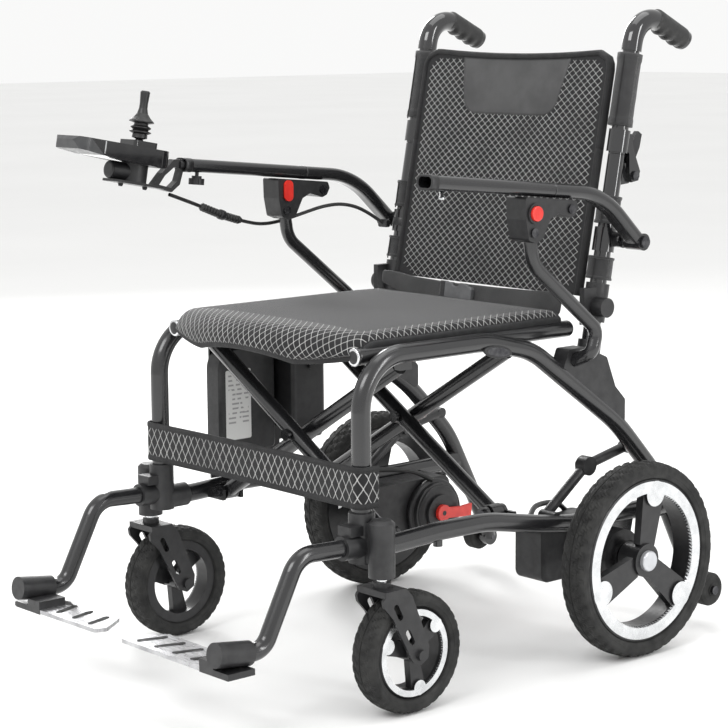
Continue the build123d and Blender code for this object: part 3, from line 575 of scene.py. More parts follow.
def make_back():
    """The padded back sling, its binding, its head patch and the fabric that bridges the hinge."""
    whole = cloth_pad("back_whole", 70, 62, back_front, back_rear, back_coordinates, BACK_NET)
    inflate(whole, back_held, 0.007)
    subdivide(whole)
    tree = BVHTree.FromObject(whole, bpy.context.evaluated_depsgraph_get())
    parts = (("back_lower", "right_frame", False, "back_pad_lower"),
             ("back_upper", "right_upper_back", True, "back_pad_upper"))
    for name, body, above, node in parts:
        panel = split_pad(whole, name, body, above)
        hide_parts(node)
        fold_flat(panel)
    bpy.data.objects.remove(whole)

    def lies_on(x, up, proud):
        hit = tree.ray_cast(on_back(x, up, 0.2), -BACK_AHEAD)[0]
        return (hit or on_back(x, up, 0.02)) + BACK_AHEAD * proud

    rows, columns = 22, 44
    rings, cloth = [], []
    for depth in (0.0013, -0.001):
        for j in range(rows + 1):
            up = 0.262 + (0.3585 - 0.262) * j / rows
            low = min(1.0, (up - 0.262) / 0.024)
            half = 0.1005 + 0.0205 * (up - 0.262) / 0.0965 - 0.024 * (1 - sqrt(1 - (1 - low) ** 2))
            ring = []
            for i in range(columns + 1):
                x = half * (2 * i / columns - 1)
                dip = 0.006 * (1 - (x / BACK_HALF) ** 2) * j / rows
                edge = 0.0012 if i in (0, columns) or j in (0, rows) else 0.0
                ring.append(lies_on(x, up - dip, depth - (edge if depth > 0 else 0)))
                cloth.append((x, up, 0))
            rings.append(ring)
    patch = grid_shell("back_patch", rings, rows, columns, LEATHER, "right_upper_back")
    fold_flat(patch)

    loop = []
    for n in range(46):
        loop.append(back_coordinates(0.0, n / 45))
    for n in range(1, 61):
        loop.append(back_coordinates(n / 60, 1.0))
    for n in range(44, -1, -1):
        loop.append(back_coordinates(1.0, n / 45))
    ends = [n for n, (x, up) in enumerate(loop) if up >= BACK_SPLIT]
    runs = (("back_binding_top", "right_upper_back", loop[ends[0]:ends[-1] + 1]),
            ("back_binding_right", "right_frame", loop[:ends[0] + 1]),
            ("back_binding_left", "right_frame", loop[ends[-1]:]))
    for name, body, run in runs:
        path = [on_back(x * (1 - 0.004 / BACK_HALF), up - 0.003 * (up > 0.34), 0.0145 - back_depth(x, up))
                for x, up in run]
        tape = sweep(name, path, oval(0.0078, 0.0052, 14, 2.6), BINDING, body, side=BACK_AHEAD, fabric=True)
        fold_flat(tape)

    for name, sign in SIDES:
        rings = []
        for k in range(25):
            up = 0.150 + 0.115 * k / 24
            near, far = 0.204, 0.003
            rings.append([on_back(sign * x, up, 0.010 + d - back_depth(x, up)) for x, d in
                          ((far, 0), (0.05, 0), (0.1, 0), (0.15, 0), (near, 0),
                           (near, 0.0016), (0.15, 0.0016), (0.1, 0.0016), (0.05, 0.0016), (far, 0.0016))])
        cloth = [(p.x, p.z, 0) for ring in rings for p in ring]
        flap = from_rings(f"{name}_hinge_cloth", rings, WEAVE, None, cloth=cloth)
        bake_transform(flap)


def grid_shell(name, rings, rows, columns, material, body):
    """A thin sheet from a front grid of rows and the matching rear grid after it."""
    count = columns + 1
    layer = (rows + 1) * count
    faces = []
    for j in range(rows):
        for i in range(columns):
            a, b, c, d = j * count + i, j * count + i + 1, (j + 1) * count + i + 1, (j + 1) * count + i
            faces.append((a, b, c, d))
            faces.append((d + layer, c + layer, b + layer, a + layer))
    border = list(range(columns)) + [j * count + columns for j in range(rows)]
    border += [rows * count + i for i in range(columns, 0, -1)] + [j * count for j in range(rows, 0, -1)]
    for this, after in zip(border, border[1:] + border[:1]):
        faces.append((this, this + layer, after + layer, after))
    mesh = bpy.data.meshes.new(name)
    mesh.from_pydata([tuple(p) for ring in rings for p in ring], [], faces)
    return place_mesh(name, mesh, material, body)


SEAT_LOW, SEAT_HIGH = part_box("seat_cushion")
SEAT_FRONT = SEAT_LOW.y
SEAT_REAR = SEAT_HIGH.y
SEAT_HALF = SEAT_HIGH.x - 0.001
SEAT_BASE = 0.5215


def seat_coordinates(i, j):
    """Across and along the seat. The front of the cloth turns down, so it is longer than the seat."""
    return SEAT_HALF * (2 * i - 1), SEAT_FRONT - 0.036 + (SEAT_REAR - SEAT_FRONT + 0.036) * j


def seat_edge(x):
    """The seat's front edge, which bows forward between its corners."""
    return SEAT_FRONT - 0.0205 + 0.042 * (x / SEAT_HALF)**2


def seat_point(i, j, height):
    """A point of the seat pad. Its front turns down and its sides fall to the tubes."""
    x, q = seat_coordinates(i, j)
    side = abs(x) / SEAT_HALF
    start = seat_edge(x) + 0.0285
    drop = 0.040 - 0.022 * side**3
    turn = max(0.0, start - q)
    if turn > 0:
        angle = min(turn / 0.030, 1.25)
        y = start - 0.030 * sin(angle)
        z = -0.030 * (1 - cos(angle)) - max(0.0, turn - 0.0375) * 0.95
        z = max(z, -drop)
        normal = Vector((0, -sin(angle), cos(angle)))
    else:
        y, z, normal = q, 0.0, Vector((0, 0, 1))
    crown = 0.006 * (1 - side**4) * min(1.0, max(0.0, (SEAT_REAR - q) / 0.05))
    edge = min(1.0, (1 - side) / 0.05) if side < 1 else 0.0
    fall = 0.006 * (1 - sqrt(edge * (2 - edge)))
    point = Vector((x, y, SEAT_BASE + 0.004 + z)) + normal * height * (0.35 + 0.65 * sqrt(edge * (2 - edge)))
    point.z += (crown - fall) * (height > 0)
    return point


def seat_held(point):
    """How firmly the seat pad is sewn down at a point."""
    margin = min(SEAT_HALF - abs(point.x), SEAT_REAR - point.y, point.y - seat_edge(point.x) - 0.004)
    if margin < 0.008:
        return 1.0
    seam = min(abs(abs(point.x) - 0.186), abs(point.y - (SEAT_FRONT + 0.045)))
    return 0.9 if seam < 0.004 and point.z > SEAT_BASE + 0.006 else 0.0


def make_seat():
    """The padded seat: net front band and side strips, plain crowned centre and bound edges."""
    seat = cloth_pad("seat_pad", 72, 76, lambda i, j: seat_point(i, j, 0.010),
                     lambda i, j: seat_point(i, j, -0.003), seat_coordinates, SEAT_NET)
    inflate(seat, seat_held, 0.004)
    subdivide(seat)
    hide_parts("seat_cushion")
    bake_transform(seat)
    ring = [(n / 48, 0.0) for n in range(49)] + [(1.0, n / 40) for n in range(1, 41)]
    ring += [(n / 48, 1.0) for n in range(47, -1, -1)] + [(0.0, n / 40) for n in range(39, 0, -1)]
    path = [seat_point(i, j, 0.004) for i, j in ring]
    tape = sweep_closed("seat_binding", path, 0.0062, 0.0042, BINDING)
    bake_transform(tape)


def sweep_closed(name, path, height, depth, material):
    """A bound edge that runs round a pad and comes back to its start. Its long side stands upright."""
    count = len(path)
    section = oval(depth, height, 12, 2.4)
    rings, cloth = [], []
    along = 0.0
    for k, point in enumerate(path):
        run = (path[(k + 1) % count] - path[k - 1]).normalized()
        out = run.cross(Z_AXIS).normalized()
        along += (point - path[k - 1]).length if k else 0.0
        rings.append([point + out * a + Z_AXIS * b for a, b in section])
        cloth += [(b, along, 0) for a, b in section]
    return from_rings(name, rings, material, None, close="loop", cloth=cloth)


STRAP_LOW, STRAP_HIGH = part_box("calf_strap")
STRAP_MIDDLE = (STRAP_LOW.z + STRAP_HIGH.z) / 2
STRAP_HALF = (STRAP_HIGH.z - STRAP_LOW.z) / 2
STRAP_CORNER = 0.012


def strap_line():
    """The calf strap's path, from one side round both legs to the other. Its middle hangs back a little."""
    reach, front, rear = STRAP_HIGH.x - 0.0022, STRAP_LOW.y + 0.0022, STRAP_HIGH.y
    half = [Vector((0, front + 0.004, 0))]
    for n in range(1, 25):
        x = (reach - STRAP_CORNER) * n / 24
        half.append(Vector((x, front + 0.004 * (1 - (n / 24) ** 2), 0)))
    for n in range(1, 9):
        turn = radians(90 * n / 8)
        half.append(Vector((reach - STRAP_CORNER + STRAP_CORNER * sin(turn),
                            front + STRAP_CORNER * (1 - cos(turn)), 0)))
    straight = rear - front - STRAP_CORNER
    half += [Vector((reach, front + STRAP_CORNER + straight * n / 5, 0)) for n in range(1, 6)]
    return [Vector((-p.x, p.y, 0)) for p in half[:0:-1]] + half


def make_calf_strap():
    """The net strap behind the calves, with a hem along each edge."""
    line = strap_line()
    rings, cloth = [], []
    levels = [-0.0275, -0.024, -0.016, -0.008, 0, 0.008, 0.016, 0.024, 0.0275]
    along = 0.0
    for k, point in enumerate(line):
        run = run_at(line, k)
        out = run.cross(Z_AXIS)
        along += (point - line[k - 1]).length if k else 0.0
        ring = []
        for side, order in ((0.0016, levels), (-0.0014, levels[::-1])):
            for z in order:
                puff = side * (1.0 - 0.35 * (abs(z) / 0.0275) ** 4)
                ring.append(point + out * puff + Z_AXIS * (STRAP_MIDDLE + z))
                cloth.append((along, z, 0))
        rings.append(ring)
    strap = from_rings("calf_strap_net", rings, STRAP_NET, "right_frame", cloth=cloth)
    subdivide(strap)
    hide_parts("calf_strap")
    fold_flat(strap)
    for name, z in (("lower", -STRAP_HALF + 0.0026), ("upper", STRAP_HALF - 0.0026)):
        path = [point + Z_AXIS * (STRAP_MIDDLE + z) for point in line]
        hem = sweep(f"calf_strap_{name}_hem", path, oval(0.0022, 0.0046, 12, 2.6), BINDING, "right_frame",
                    side=-Y_AXIS, fabric=True)
        hem_upright(hem, path)
        fold_flat(hem)


def hem_upright(hem, path):
    """Stand the hem's long side up all along the path, also round the corners."""
    section = oval(0.0022, 0.0046, 12, 2.6)
    for k, point in enumerate(path):
        run = run_at(path, k)
        out = run.cross(Z_AXIS)
        for n, (a, b) in enumerate(section):
            hem.data.vertices[k * len(section) + n].co = point + out * a + Z_AXIS * b


BELT_LOW, BELT_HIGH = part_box("seat_belt")


def make_belt():
    """The lap belt that lies across the rear of the seat, and its side-release buckle."""
    stations = 60
    rings, cloth = [], []
    for k in range(stations + 1):
        x = -0.206 + 0.412 * k / stations
        sag = 0.006 * (1 - (x / 0.206) ** 2)
        wave = 0.0016 * sin(x * 31) + 0.001 * sin(x * 67 + 1)
        narrow = 1 - 0.45 * max(0.0, (-x - 0.13) / 0.076) ** 1.5
        half = 0.0185 * narrow
        centre = Vector((x, 0.1978 + wave, 0.5455 - sag + 0.010 * max(0.0, (-x - 0.13) / 0.076)))
        lean = Vector((0, 0.16 + 0.1 * sin(x * 15), 1)).normalized()
        out = lean.cross(X_AXIS).normalized()
        upper = [(-1, 0.8), (-0.5, 1), (0, 1), (0.5, 1), (1, 0.8)]
        outline = upper + [(a, -b) for a, b in upper[::-1]]
        rings.append([centre + lean * (half * a) + out * (0.0011 * b) for a, b in outline])
        cloth += [(half * a, x, 0) for a, b in outline]
    belt = from_rings("lap_belt", rings, WEBBING, "right_frame", cloth=cloth)
    subdivide(belt)
    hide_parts("seat_belt")
    fold_flat(belt)
    face = Vector((-0.022, 0.1895, 0.5405))
    right, up = X_AXIS, Vector((0, 0.16, 1)).normalized()
    body = [(-0.036, -0.019), (0.020, -0.019), (0.026, -0.015), (0.034, -0.014), (0.036, -0.010),
            (0.036, 0.010), (0.034, 0.014), (0.026, 0.015), (0.020, 0.019), (0.007, 0.019), (0.005, 0.0145),
            (0.001, 0.0125),
            (-0.004, 0.0125), (-0.008, 0.0145), (-0.010, 0.019), (-0.036, 0.019)]
    socket = slab("buckle_socket", body, face, right, up, -0.009, BUCKLE, "right_frame", 0.0022, 4)
    bar = slab("buckle_bar", rounded(0.011, 0.040, 0.002), face + right * -0.0305 - Y_AXIS * 0.0012, right,
               up, -0.011, PLASTIC, "right_frame", 0.0015, 3)
    gap = slab("buckle_slot", rounded(0.0035, 0.033, 0.001), face + right * -0.0335 - Y_AXIS * 0.0016, right,
               up, -0.002, GLOSS, "right_frame", 0.0004, 2)
    button = lathe("buckle_button", [(0, 0), (0, 0.0032), (0.0016, 0.0032), (0.0022, 0.0024), (0.0022, 0)],
                   face + right * -0.001 - up * 0.0135 - Y_AXIS * 0.0002, (0, -1, 0.16), DARK_STEEL,
                   "right_frame", 20)


# Tyres

def make_tyre(name, node, body, blocks, tread, shoulder):
    """A tyre with rounded walls and rows of moulded tread blocks."""
    low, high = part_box(node)
    centre = (low + high) / 2
    radius = (high.z - low.z) / 2
    half = (high.x - low.x) / 2
    inner = radius - tread
    section = [(-0.70, 0.02), (-0.84, 0.10), (-0.93, 0.30), (-0.965, 0.34), (-0.985, 0.50), (-1.0, 0.62),
               (-0.97, 0.74), (-0.90, 0.84), (-0.80, 0.895), (-0.66, 0.945), (-0.50, 0.98), (-0.34, 0.995),
               (-0.18, 1.0), (-0.06, 1.0), (-0.04, 0.955)]
    section += [(-a, r) for a, r in section[::-1]]
    per_block = 6
    steps = blocks * per_block
    rings = []
    for n in range(steps):
        turn = 2 * pi * n / steps
        ring = []
        for a, share in section:
            r = inner + (radius - inner) * share
            lean = int(abs(a) * 5)
            phase = (n + lean) % per_block
            if 0.15 < abs(a) < 0.975 and share > 0.8 and phase in (0, 1):
                r -= shoulder
            if 0.42 < abs(a) < 0.52:
                r -= shoulder * 0.55
            y, z = centre.y + r * cos(turn), centre.z + r * sin(turn)
            ring.append(Vector((centre.x + a * half, y, z)))
        rings.append(ring)
    tyre = from_rings(name, rings, RUBBER, body, close="loop", smooth=False)
    face_outwards(tyre)
    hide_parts(node)


def face_outwards(piece):
    """Turn the faces of a closed mesh outwards."""
    made = bmesh.new()
    made.from_mesh(piece.data)
    bmesh.ops.recalc_face_normals(made, faces=made.faces)
    made.to_mesh(piece.data)
    made.free()


# CAD pieces

def finish_node(name, *materials, choose=None):
    """Give a CAD node its materials. choose(centre, normal) picks the material of each face."""
    node = NODES[name]
    node.data.materials.clear()
    for material in materials:
        node.data.materials.append(material)
    if choose:
        for face in node.data.polygons:
            face.material_index = choose(face.center, face.normal)


def wheel_faces(node, ring_inner, ring_outer, face_depth, cap):
    """Pick the silver ring and the hub cap on the outer face of a rim."""
    low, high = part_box(node)
    centre = (low + high) / 2
    outer = high.x if high.x > 0 else -low.x

    def choose(point, normal):
        reach = sqrt((point.y - centre.y) ** 2 + (point.z - centre.z) ** 2)
        if reach < cap and abs(point.x) > outer - 0.0095:
            return 2
        if abs(normal.x) > 0.15 and abs(point.x) > face_depth and ring_inner < reach < ring_outer:
            return 1
        return 0
    return choose


def finish_cad():
    """Materials for every CAD node that shows."""
    paired = {"side_tube": PAINT, "lower_rail": PAINT, "caster_housing": CASTING, "back_bracket": CASTING,
              "back_post": POST_PAINT, "arm_strut": PAINT, "arm_latch": PLASTIC, "footrest_hanger": PAINT,
              "motor": CASTING, "clutch_lever": RED, "arm_tube": PAINT, "back_lever": PLASTIC,
              "release_button": RED, "bolts": DARK_STEEL, "push_handle": POST_PAINT,
              "anti_tip_wheel": RUBBER}
    single = {"cross_brace_a": PAINT, "cross_brace_b": PAINT, "battery_case": PLASTIC,
              "controller_box": PLASTIC, "pod_mount": PLASTIC, "clamp_knob": PLASTIC, "joystick": BELLOWS,
              "joystick_gimbal": DARK_STEEL}
    for side, _ in SIDES:
        for node, material in paired.items():
            finish_node(f"{side}_{node}", material)
        finish_node(f"{side}_rear_rim", RIM, SILVER, CAP,
                    choose=wheel_faces(f"{side}_rear_rim", 0.080, 0.1225, 0.3215, 0.0165))
        finish_node(f"{side}_caster_rim", RIM, SILVER, DARK_STEEL,
                    choose=wheel_faces(f"{side}_caster_rim", 0.0445, 0.0635, 0.2925, 0.001))
        finish_node(f"{side}_footplate", CASTING, BRUSHED, RUBBER, choose=footplate_faces)
        finish_node(f"{side}_caster_fork", PLASTIC, CHROME, choose=fork_faces)
    for node, material in single.items():
        finish_node(node, material)
    finish_node("pod_case", GLOSS, POD_GREY, PLASTIC, choose=pod_faces)


def footplate_faces(point, normal):
    """The footplate's bare aluminium, and its rubber grip ribs."""
    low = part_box("left_footplate")[0]
    if point.z > 0.1105 and abs(point.x) < 0.196:
        return 2
    return 1 if abs(point.x) < 0.1945 and point.z < 0.1106 and normal.z > -0.5 and low.z < point.z else 0


def fork_faces(point, _):
    """The bright stem of a caster fork."""
    return 1 if point.z > 0.1985 else 0


POD_AHEAD = Vector((0, -0.98261, 0.18567))
POD_UP = Vector((0, 0.18567, 0.98261))
POD_REAR_TOP = Vector((-0.283, -0.1955, 0.775))


def pod_faces(point, _):
    """The pod's grey front, and its dark underside."""
    ahead = (point - POD_REAR_TOP).dot(POD_AHEAD)
    under = (point - POD_REAR_TOP).dot(POD_UP)
    if ahead > 0.128:
        return 1
    return 2 if under < -0.024 else 0


# Hard details

def make_grips():
    """The rubber grips on the push handles, with finger grooves below, and the cloth sleeves."""
    for side, sign in SIDES:
        body = f"{side}_upper_back"
        x = sign * POST_X
        tail = Vector((x, 0.4385, 0.943))
        crest = Vector((x, 0.3362, 0.992))
        run = (tail - crest).normalized()
        line = [crest + run * (0.040 + 0.0765 * n / 32) for n in range(33)]

        def section(k):
            ends = min(1.0, k / 2 + 0.2, (32 - k) / 3 + 0.15)
            groove = 0.0016 * cos(2 * pi * k / 8)
            outline = []
            for n in range(28):
                turn = 2 * pi * n / 28
                below = max(0.0, -sin(turn))
                r = 0.0166 + 0.0006 * ends + below * groove - 0.004 * (1 - ends) ** 2
                outline.append((r * cos(turn), r * sin(turn)))
            return outline
        grip = sweep(f"{side}_grip", line, section, GRIP, body, side=X_AXIS * -1)

        for name, low_z, high_z, r, rides in (("upper_sleeve", 0.812, 0.921, 0.0176, body),
                                              ("middle_loop", 0.664, 0.706, 0.0172, f"{side}_frame"),
                                              ("lower_loop", 0.580, 0.614, 0.0186, f"{side}_frame")):
            path = [post_point(x, low_z + (high_z - low_z) * n / 24) for n in range(25)]

            def cuff(k, r=r, path=path):
                hem = 0.0011 if k in (0, 1, 2, 22, 23, 24) else 0.0
                outline = []
                for n in range(32):
                    turn = 2 * pi * n / 32
                    fold = 0.0006 * noise.noise(Vector((cos(turn) * 2, sin(turn) * 2, path[k].z * 60)))
                    toward = max(0.0, -sign * cos(turn)) * 0.002
                    reach = r + hem + fold + toward
                    outline.append((reach * cos(turn), reach * sin(turn)))
                return outline
            sleeve = sweep(f"{side}_{name}", path, cuff, WEAVE, rides, side=X_AXIS, fabric=True)
            seam_path = [p + X_AXIS * sign * 0.004 - Y_AXIS * (r + 0.0012) for p in path]
            seam = sweep(f"{side}_{name}_seam", seam_path, oval(0.0011, 0.0009, 8), BINDING, rides,
                         fabric=True)


def post_point(x, z):
    """A point on a back post's centre line."""
    return Vector((x, BACK_FOOT.y + (z - BACK_FOOT.z) * BACK_UP.y / BACK_UP.z, z))


CABLE_ROUTE = [(-0.283, -0.1795, 0.707), (-0.284, -0.1565, 0.699), (-0.287, -0.1195, 0.686),
               (-0.292, -0.0725, 0.668), (-0.300, -0.0215, 0.654), (-0.308, 0.0235, 0.645),
               (-0.309, 0.0645, 0.648), (-0.301, 0.1055, 0.659), (-0.291, 0.1445, 0.670),
               (-0.281, 0.1815, 0.672), (-0.267, 0.2165, 0.659), (-0.253, 0.2425, 0.636)]
CABLE_RADIUS = 0.003


def route_curve(name, bevel):
    """A smooth curve along the cable's route."""
    data = bpy.data.curves.new(name, "CURVE")
    data.dimensions = "3D"
    spline = data.splines.new("NURBS")
    spline.points.add(len(CABLE_ROUTE) - 1)
    for point, place in zip(spline.points, CABLE_ROUTE):
        point.co = (*place, 1)
    spline.order_u = 3
    spline.use_endpoint_u = True
    spline.resolution_u = 12
    data.bevel_depth = bevel
    data.bevel_resolution = 5
    return add_object(name, data)


def make_cable():
    """The joystick's lead, the plug on it and the clip that holds it to the back post."""
    bare = route_curve("route", 0)
    line = [v.co.copy() for v in bpy.data.meshes.new_from_object(bare).vertices]
    bpy.data.objects.remove(bare)
    cable = route_curve("joystick_lead", CABLE_RADIUS)
    cable.data.materials.append(SHEATH)
    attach(cable, "right_frame")
    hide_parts("joystick_cable")
    start = min(range(len(line)), key=lambda n: (line[n] - Vector(CABLE_ROUTE[2])).length)
    end = min(range(len(line)), key=lambda n: (line[n] - Vector(CABLE_ROUTE[4])).length)
    run = line[start:end + 1]
    lengths = [0.0]
    for a, b in zip(run, run[1:]):
        lengths.append(lengths[-1] + (b - a).length)
    stations = 120
    path = []
    for k in range(stations + 1):
        want = 0.003 + (lengths[-1] - 0.006) * k / stations
        n = max(i for i, d in enumerate(lengths) if d <= want)
        n = min(n, len(run) - 2)
        path.append(run[n].lerp(run[n + 1], (want - lengths[n]) / (lengths[n + 1] - lengths[n])))

    def ribs(k):
        share = k / stations
        taper = min(1.0, share / 0.10 + 0.42, (1 - share) / 0.10 + 0.42)
        middle = abs(share - 0.5) < 0.07
        wave = 1.0 if middle or (k // 4) % 2 else 0.76
        return oval(0.0068 * taper * wave, 0.0068 * taper * wave, 20)
    plug = sweep("lead_connector", path, ribs, SHEATH, "right_frame", side=Z_AXIS)
    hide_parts("cable_connector")
    collar = lathe("lead_collar", [(0, 0.004), (0, 0.0079), (0.002, 0.0083), (0.008, 0.0083), (0.010, 0.0079),
                                   (0.010, 0.004)], path[62] - (path[64] - path[60]).normalized() * 0.005,
                   path[64] - path[60], PLASTIC, "right_frame", 28)
    clip = lathe("post_clip", [(0, 0.0132), (0, 0.0165), (0.002, 0.0172), (0.014, 0.0172), (0.016, 0.0165),
                               (0.016, 0.0132)], post_point(-POST_X, 0.630), BACK_UP, PLASTIC, "right_frame")
    tab = slab("post_clip_tab", rounded(0.022, 0.013, 0.003), (-0.2535, 0.2400, 0.6365), X_AXIS, Z_AXIS,
               -0.009, PLASTIC, "right_frame", 0.0015, 3)


def make_labels():
    """The battery's plain rating label and the plain badge on each rail."""
    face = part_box("battery_case")[1].x
    middle = Vector((face - 0.0002, -0.1125, 0.375))
    label = slab("battery_label", rounded(0.050, 0.112, 0.003), middle, Y_AXIS, Z_AXIS, 0.0006, LABEL,
                 "battery", 0.0002, 1)
    for side, sign in SIDES:
        centre = Vector((sign * 0.2525, 0.0165, 0.4943))
        points = [(0.0285 * cos(2 * pi * n / 40), 0.0095 * sin(2 * pi * n / 40)) for n in range(40)]
        tilt = Vector((0, 0.986, -0.165)) * sign
        badge = slab(f"{side}_badge", points, centre - X_AXIS * sign * 0.003, tilt, X_AXIS.cross(tilt) * sign,
                     0.0050, PLASTIC, f"{side}_frame", 0.0016, 4)
        inner = slab(f"{side}_badge_face", [(a * 0.8, b * 0.72) for a, b in points],
                     centre + X_AXIS * sign * 0.0018, tilt, X_AXIS.cross(tilt) * sign, 0.0006, DARK_STEEL,
                     f"{side}_frame", 0.0002, 1)


def label_look():
    """White foil with grey bars where the lines of a rating plate would be."""
    look = Look("label_foil", Roughness=0.4)
    place = look.split(look.place())
    lines = look.math("SINE", look.math("MULTIPLY", place[2], 2 * pi / 0.0075))
    gaps = look.math("GREATER_THAN", look.noise(120.0, 1.0, (1, 1, 0.3)), 0.47)
    margin = look.math("LESS_THAN", look.math("ABSOLUTE", look.math("ADD", place[1], 0.1125)), 0.020)
    lower = look.math("GREATER_THAN", place[2], 0.345)
    bars = look.math("MULTIPLY", look.math("GREATER_THAN", lines, 0.35), look.math("MULTIPLY", gaps, margin))
    bars = look.math("MULTIPLY", bars, lower)
    look.feed("Base Color", look.blend(bars, (0.62, 0.62, 0.61), (0.30, 0.30, 0.30)))
    look.feed("Roughness", look.ramp(look.noise(80.0), 0.35, 0.5))
    return look.material


LABEL = label_look()


def make_arm_details():
    """The soft pad seam on each armrest, the lip of the open front end and the small clamp pin."""
    for side, sign in SIDES:
        body = f"{side}_arm"
        front = Vector((sign * 0.283, -0.1545, 0.7525))
        bend = Vector((sign * 0.283, 0.1965, 0.7180))
        run = (bend - front).normalized()
        up = X_AXIS.cross(run)
        up = up if up.z > 0 else -up
        outer = oval(0.0168, 0.0113, 32, 3.2)
        inner = oval(0.0138, 0.0083, 32, 3.2)
        rings = []
        eased = [(a * 0.97, b * 0.96) for a, b in outer]
        for along, outline in ((0.012, outer), (-0.0008, outer), (-0.0016, eased), (-0.0016, inner),
                               (0.012, inner)):
            rings.append([front + run * along + X_AXIS * a + up * b for a, b in outline])
        lip = from_rings(f"{side}_arm_lip", rings, PLASTIC, body, close="loop")
        seam_at = front + run * 0.246
        rings = []
        for along, grow in ((-0.0012, 1.0), (-0.0006, 1.035), (0.0006, 1.035), (0.0012, 1.0)):
            rings.append([seam_at + run * along + X_AXIS * a * grow + up * b * grow
                          for a, b in oval(0.0162, 0.0107, 32, 3.2)])
        seam = from_rings(f"{side}_arm_seam", rings, GLOSS, body)
    pin = lathe("arm_pin", [(0, 0), (0, 0.0028), (0.010, 0.0028), (0.0105, 0.0042), (0.0135, 0.0042),
                            (0.0142, 0.003), (0.0142, 0)], (0.283, -0.1235, 0.7405), (0, 0.03, -1), CHROME,
                "left_arm", 24)


def make_pod_details():
    """Screws, the seam strip on each side of the pod, and the charging socket's ring and contacts."""
    for name, u in (("rear", 0.020), ("front", 0.066)):
        head = lathe(f"pod_screw_{name}", [(0, 0), (0, 0.0034), (0.002, 0.0034), (0.0028, 0.0026),
                                           (0.0028, 0)],
                     POD_REAR_TOP + POD_AHEAD * u - POD_UP * 0.0605, -POD_UP, DARK_STEEL, "pod", 20)
    ring = lathe("charging_ring", [(0, 0.0088), (0, 0.0128), (0.0014, 0.0134), (0.0026, 0.0126),
                                   (0.0026, 0.0088)],
                 POD_REAR_TOP + POD_AHEAD * 0.0895 - POD_UP * 0.040, POD_AHEAD, PLASTIC, "pod", 36)
    core = lathe("charging_contacts", [(0, 0), (0, 0.006), (0.006, 0.006), (0.0066, 0.005), (0.0066, 0)],
                 POD_REAR_TOP + POD_AHEAD * 0.079 - POD_UP * 0.040, POD_AHEAD, BUCKLE, "pod", 28)
    for side, sign in SIDES:
        at = POD_REAR_TOP + POD_AHEAD * 0.128 + X_AXIS * sign * 0.0378
        strip = slab(f"pod_seam_{side}", rounded(0.0022, 0.019, 0.0006), at - POD_UP * 0.0108, POD_AHEAD,
                     POD_UP, 0.0007 * -sign, CHROME, "pod", 0.0002, 1)


def make_motor_details():
    """The stepped end cover on each motor and the sleeved cables that run to it."""
    for side, sign in SIDES:
        body = f"{side}_frame"
        hub = Vector((sign * 0.166, 0.2685, 0.152))
        steps = [(0, 0.030), (0, 0.0535), (0.003, 0.056), (0.010, 0.056), (0.012, 0.053), (0.012, 0.047),
                 (0.0145, 0.046), (0.021, 0.046), (0.0225, 0.044), (0.0225, 0.030)]
        cover = lathe(f"{side}_motor_cover", steps, hub, X_AXIS * -sign, PLASTIC, body, 64)
        route = [(sign * 0.155, 0.262, 0.206), (sign * 0.168, 0.225, 0.225), (sign * 0.190, 0.160, 0.232),
                 (sign * 0.225, 0.110, 0.222)]
        lead = sweep(f"{side}_motor_lead", curve_points(route), oval(0.0042, 0.0042, 14), SHEATH, body)


def make_tube_caps():
    """Bright rings and dark caps on the open ends of the seat tubes."""
    for side, sign, body in (("left", 1, "cross_b"), ("right", -1, "cross_a")):
        end = Vector((sign * 0.212, -0.2255, 0.507))
        ring = lathe(f"{side}_seat_tube_ring", [(0, 0.0085), (0, 0.0128), (0.0012, 0.0131), (0.0022, 0.0122),
                                                (0.0022, 0.0085)], end, -Y_AXIS, CHROME, body, 36)
        cap = lathe(f"{side}_seat_tube_cap", [(-0.001, 0), (-0.001, 0.0108), (0.0012, 0.0108),
                                              (0.0030, 0.0085), (0.0034, 0)], end, -Y_AXIS, PLASTIC, body, 36)


# Stage

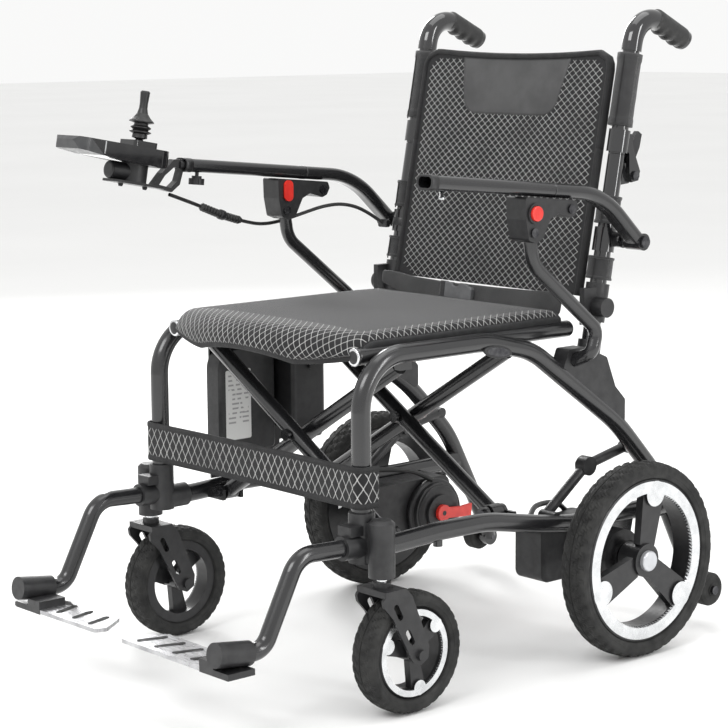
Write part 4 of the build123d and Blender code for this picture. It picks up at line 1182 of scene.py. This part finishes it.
def make_stage():
    """A pale floor that runs out of sight, soft lights and an even backdrop."""
    made = bmesh.new()
    bmesh.ops.create_grid(made, x_segments=40, y_segments=40, size=30)
    mesh = bpy.data.meshes.new("floor")
    made.to_mesh(mesh)
    made.free()
    floor = add_object("floor", mesh)
    look = Look("floor", Roughness=0.9, Specular_IOR_Level=0.1)
    tone = look.ramp(look.noise(0.7), 0, 1)
    look.feed("Base Color", look.blend(tone, (0.89, 0.89, 0.885), (0.91, 0.91, 0.905)))
    mesh.materials.append(look.material)
    world = bpy.data.worlds.new("studio")
    world.use_nodes = True
    world.node_tree.nodes["Background"].inputs["Color"].default_value = (1.0, 1.0, 0.995, 1)
    world.node_tree.nodes["Background"].inputs["Strength"].default_value = 0.95
    bpy.context.scene.world = world
    bpy.context.scene.view_settings.view_transform = "Standard"
    for name, place, size, power in (("key", (0.6, -3.2, 3.2), (2.4, 1.6), 75),
                                     ("rim", (-3.2, 1.4, 2.4), (0.7, 2.6), 70),
                                     ("side", (3.4, 0.9, 1.7), (0.5, 2.4), 42),
                                     ("top", (0.0, 0.4, 3.6), (2.5, 2.5), 35)):
        data = bpy.data.lights.new(name, "AREA")
        data.shape = "RECTANGLE"
        data.size, data.size_y = size
        data.energy = power
        lamp = add_object(name, data)
        lamp.location = place
        lamp.rotation_mode = "QUATERNION"
        lamp.rotation_quaternion = (Vector((0, 0, 0.45)) - Vector(place)).to_track_quat("-Z", "Y")


def make_camera():
    """The photograph's camera: a long lens from the chair's front left."""
    azimuth, elevation, roll = radians(49.0), radians(8.77), radians(-0.44)
    back = Vector((sin(azimuth) * cos(elevation), -cos(azimuth) * cos(elevation), sin(elevation)))
    level = Vector((cos(azimuth), sin(azimuth), 0))
    above = back.cross(level)
    right = level * cos(roll) + above * sin(roll)
    up = above * cos(roll) - level * sin(roll)
    data = bpy.data.cameras.new("camera")
    data.lens = 109.33
    data.sensor_width = 36
    camera = add_object("camera", data)
    camera.matrix_world = Matrix(((right.x, up.x, back.x, 2.5356), (right.y, up.y, back.y, -2.2273),
                                  (right.z, up.z, back.z, 0.9709), (0, 0, 0, 1)))
    bpy.context.scene.camera = camera


make_camera()
make_stage()
make_cable()
finish_cad()
make_back()
make_seat()
make_calf_strap()
make_belt()
for side, _ in SIDES:
    make_tyre(f"{side}_rear_tread", f"{side}_rear_tyre", f"{side}_wheel", 46, 0.026, 0.0022)
    make_tyre(f"{side}_caster_tread", f"{side}_caster_tyre", f"{side}_caster", 34, 0.0228, 0.0016)
make_grips()
make_labels()
make_arm_details()
make_pod_details()
make_motor_details()
make_tube_caps()

bpy.context.view_layer.update()
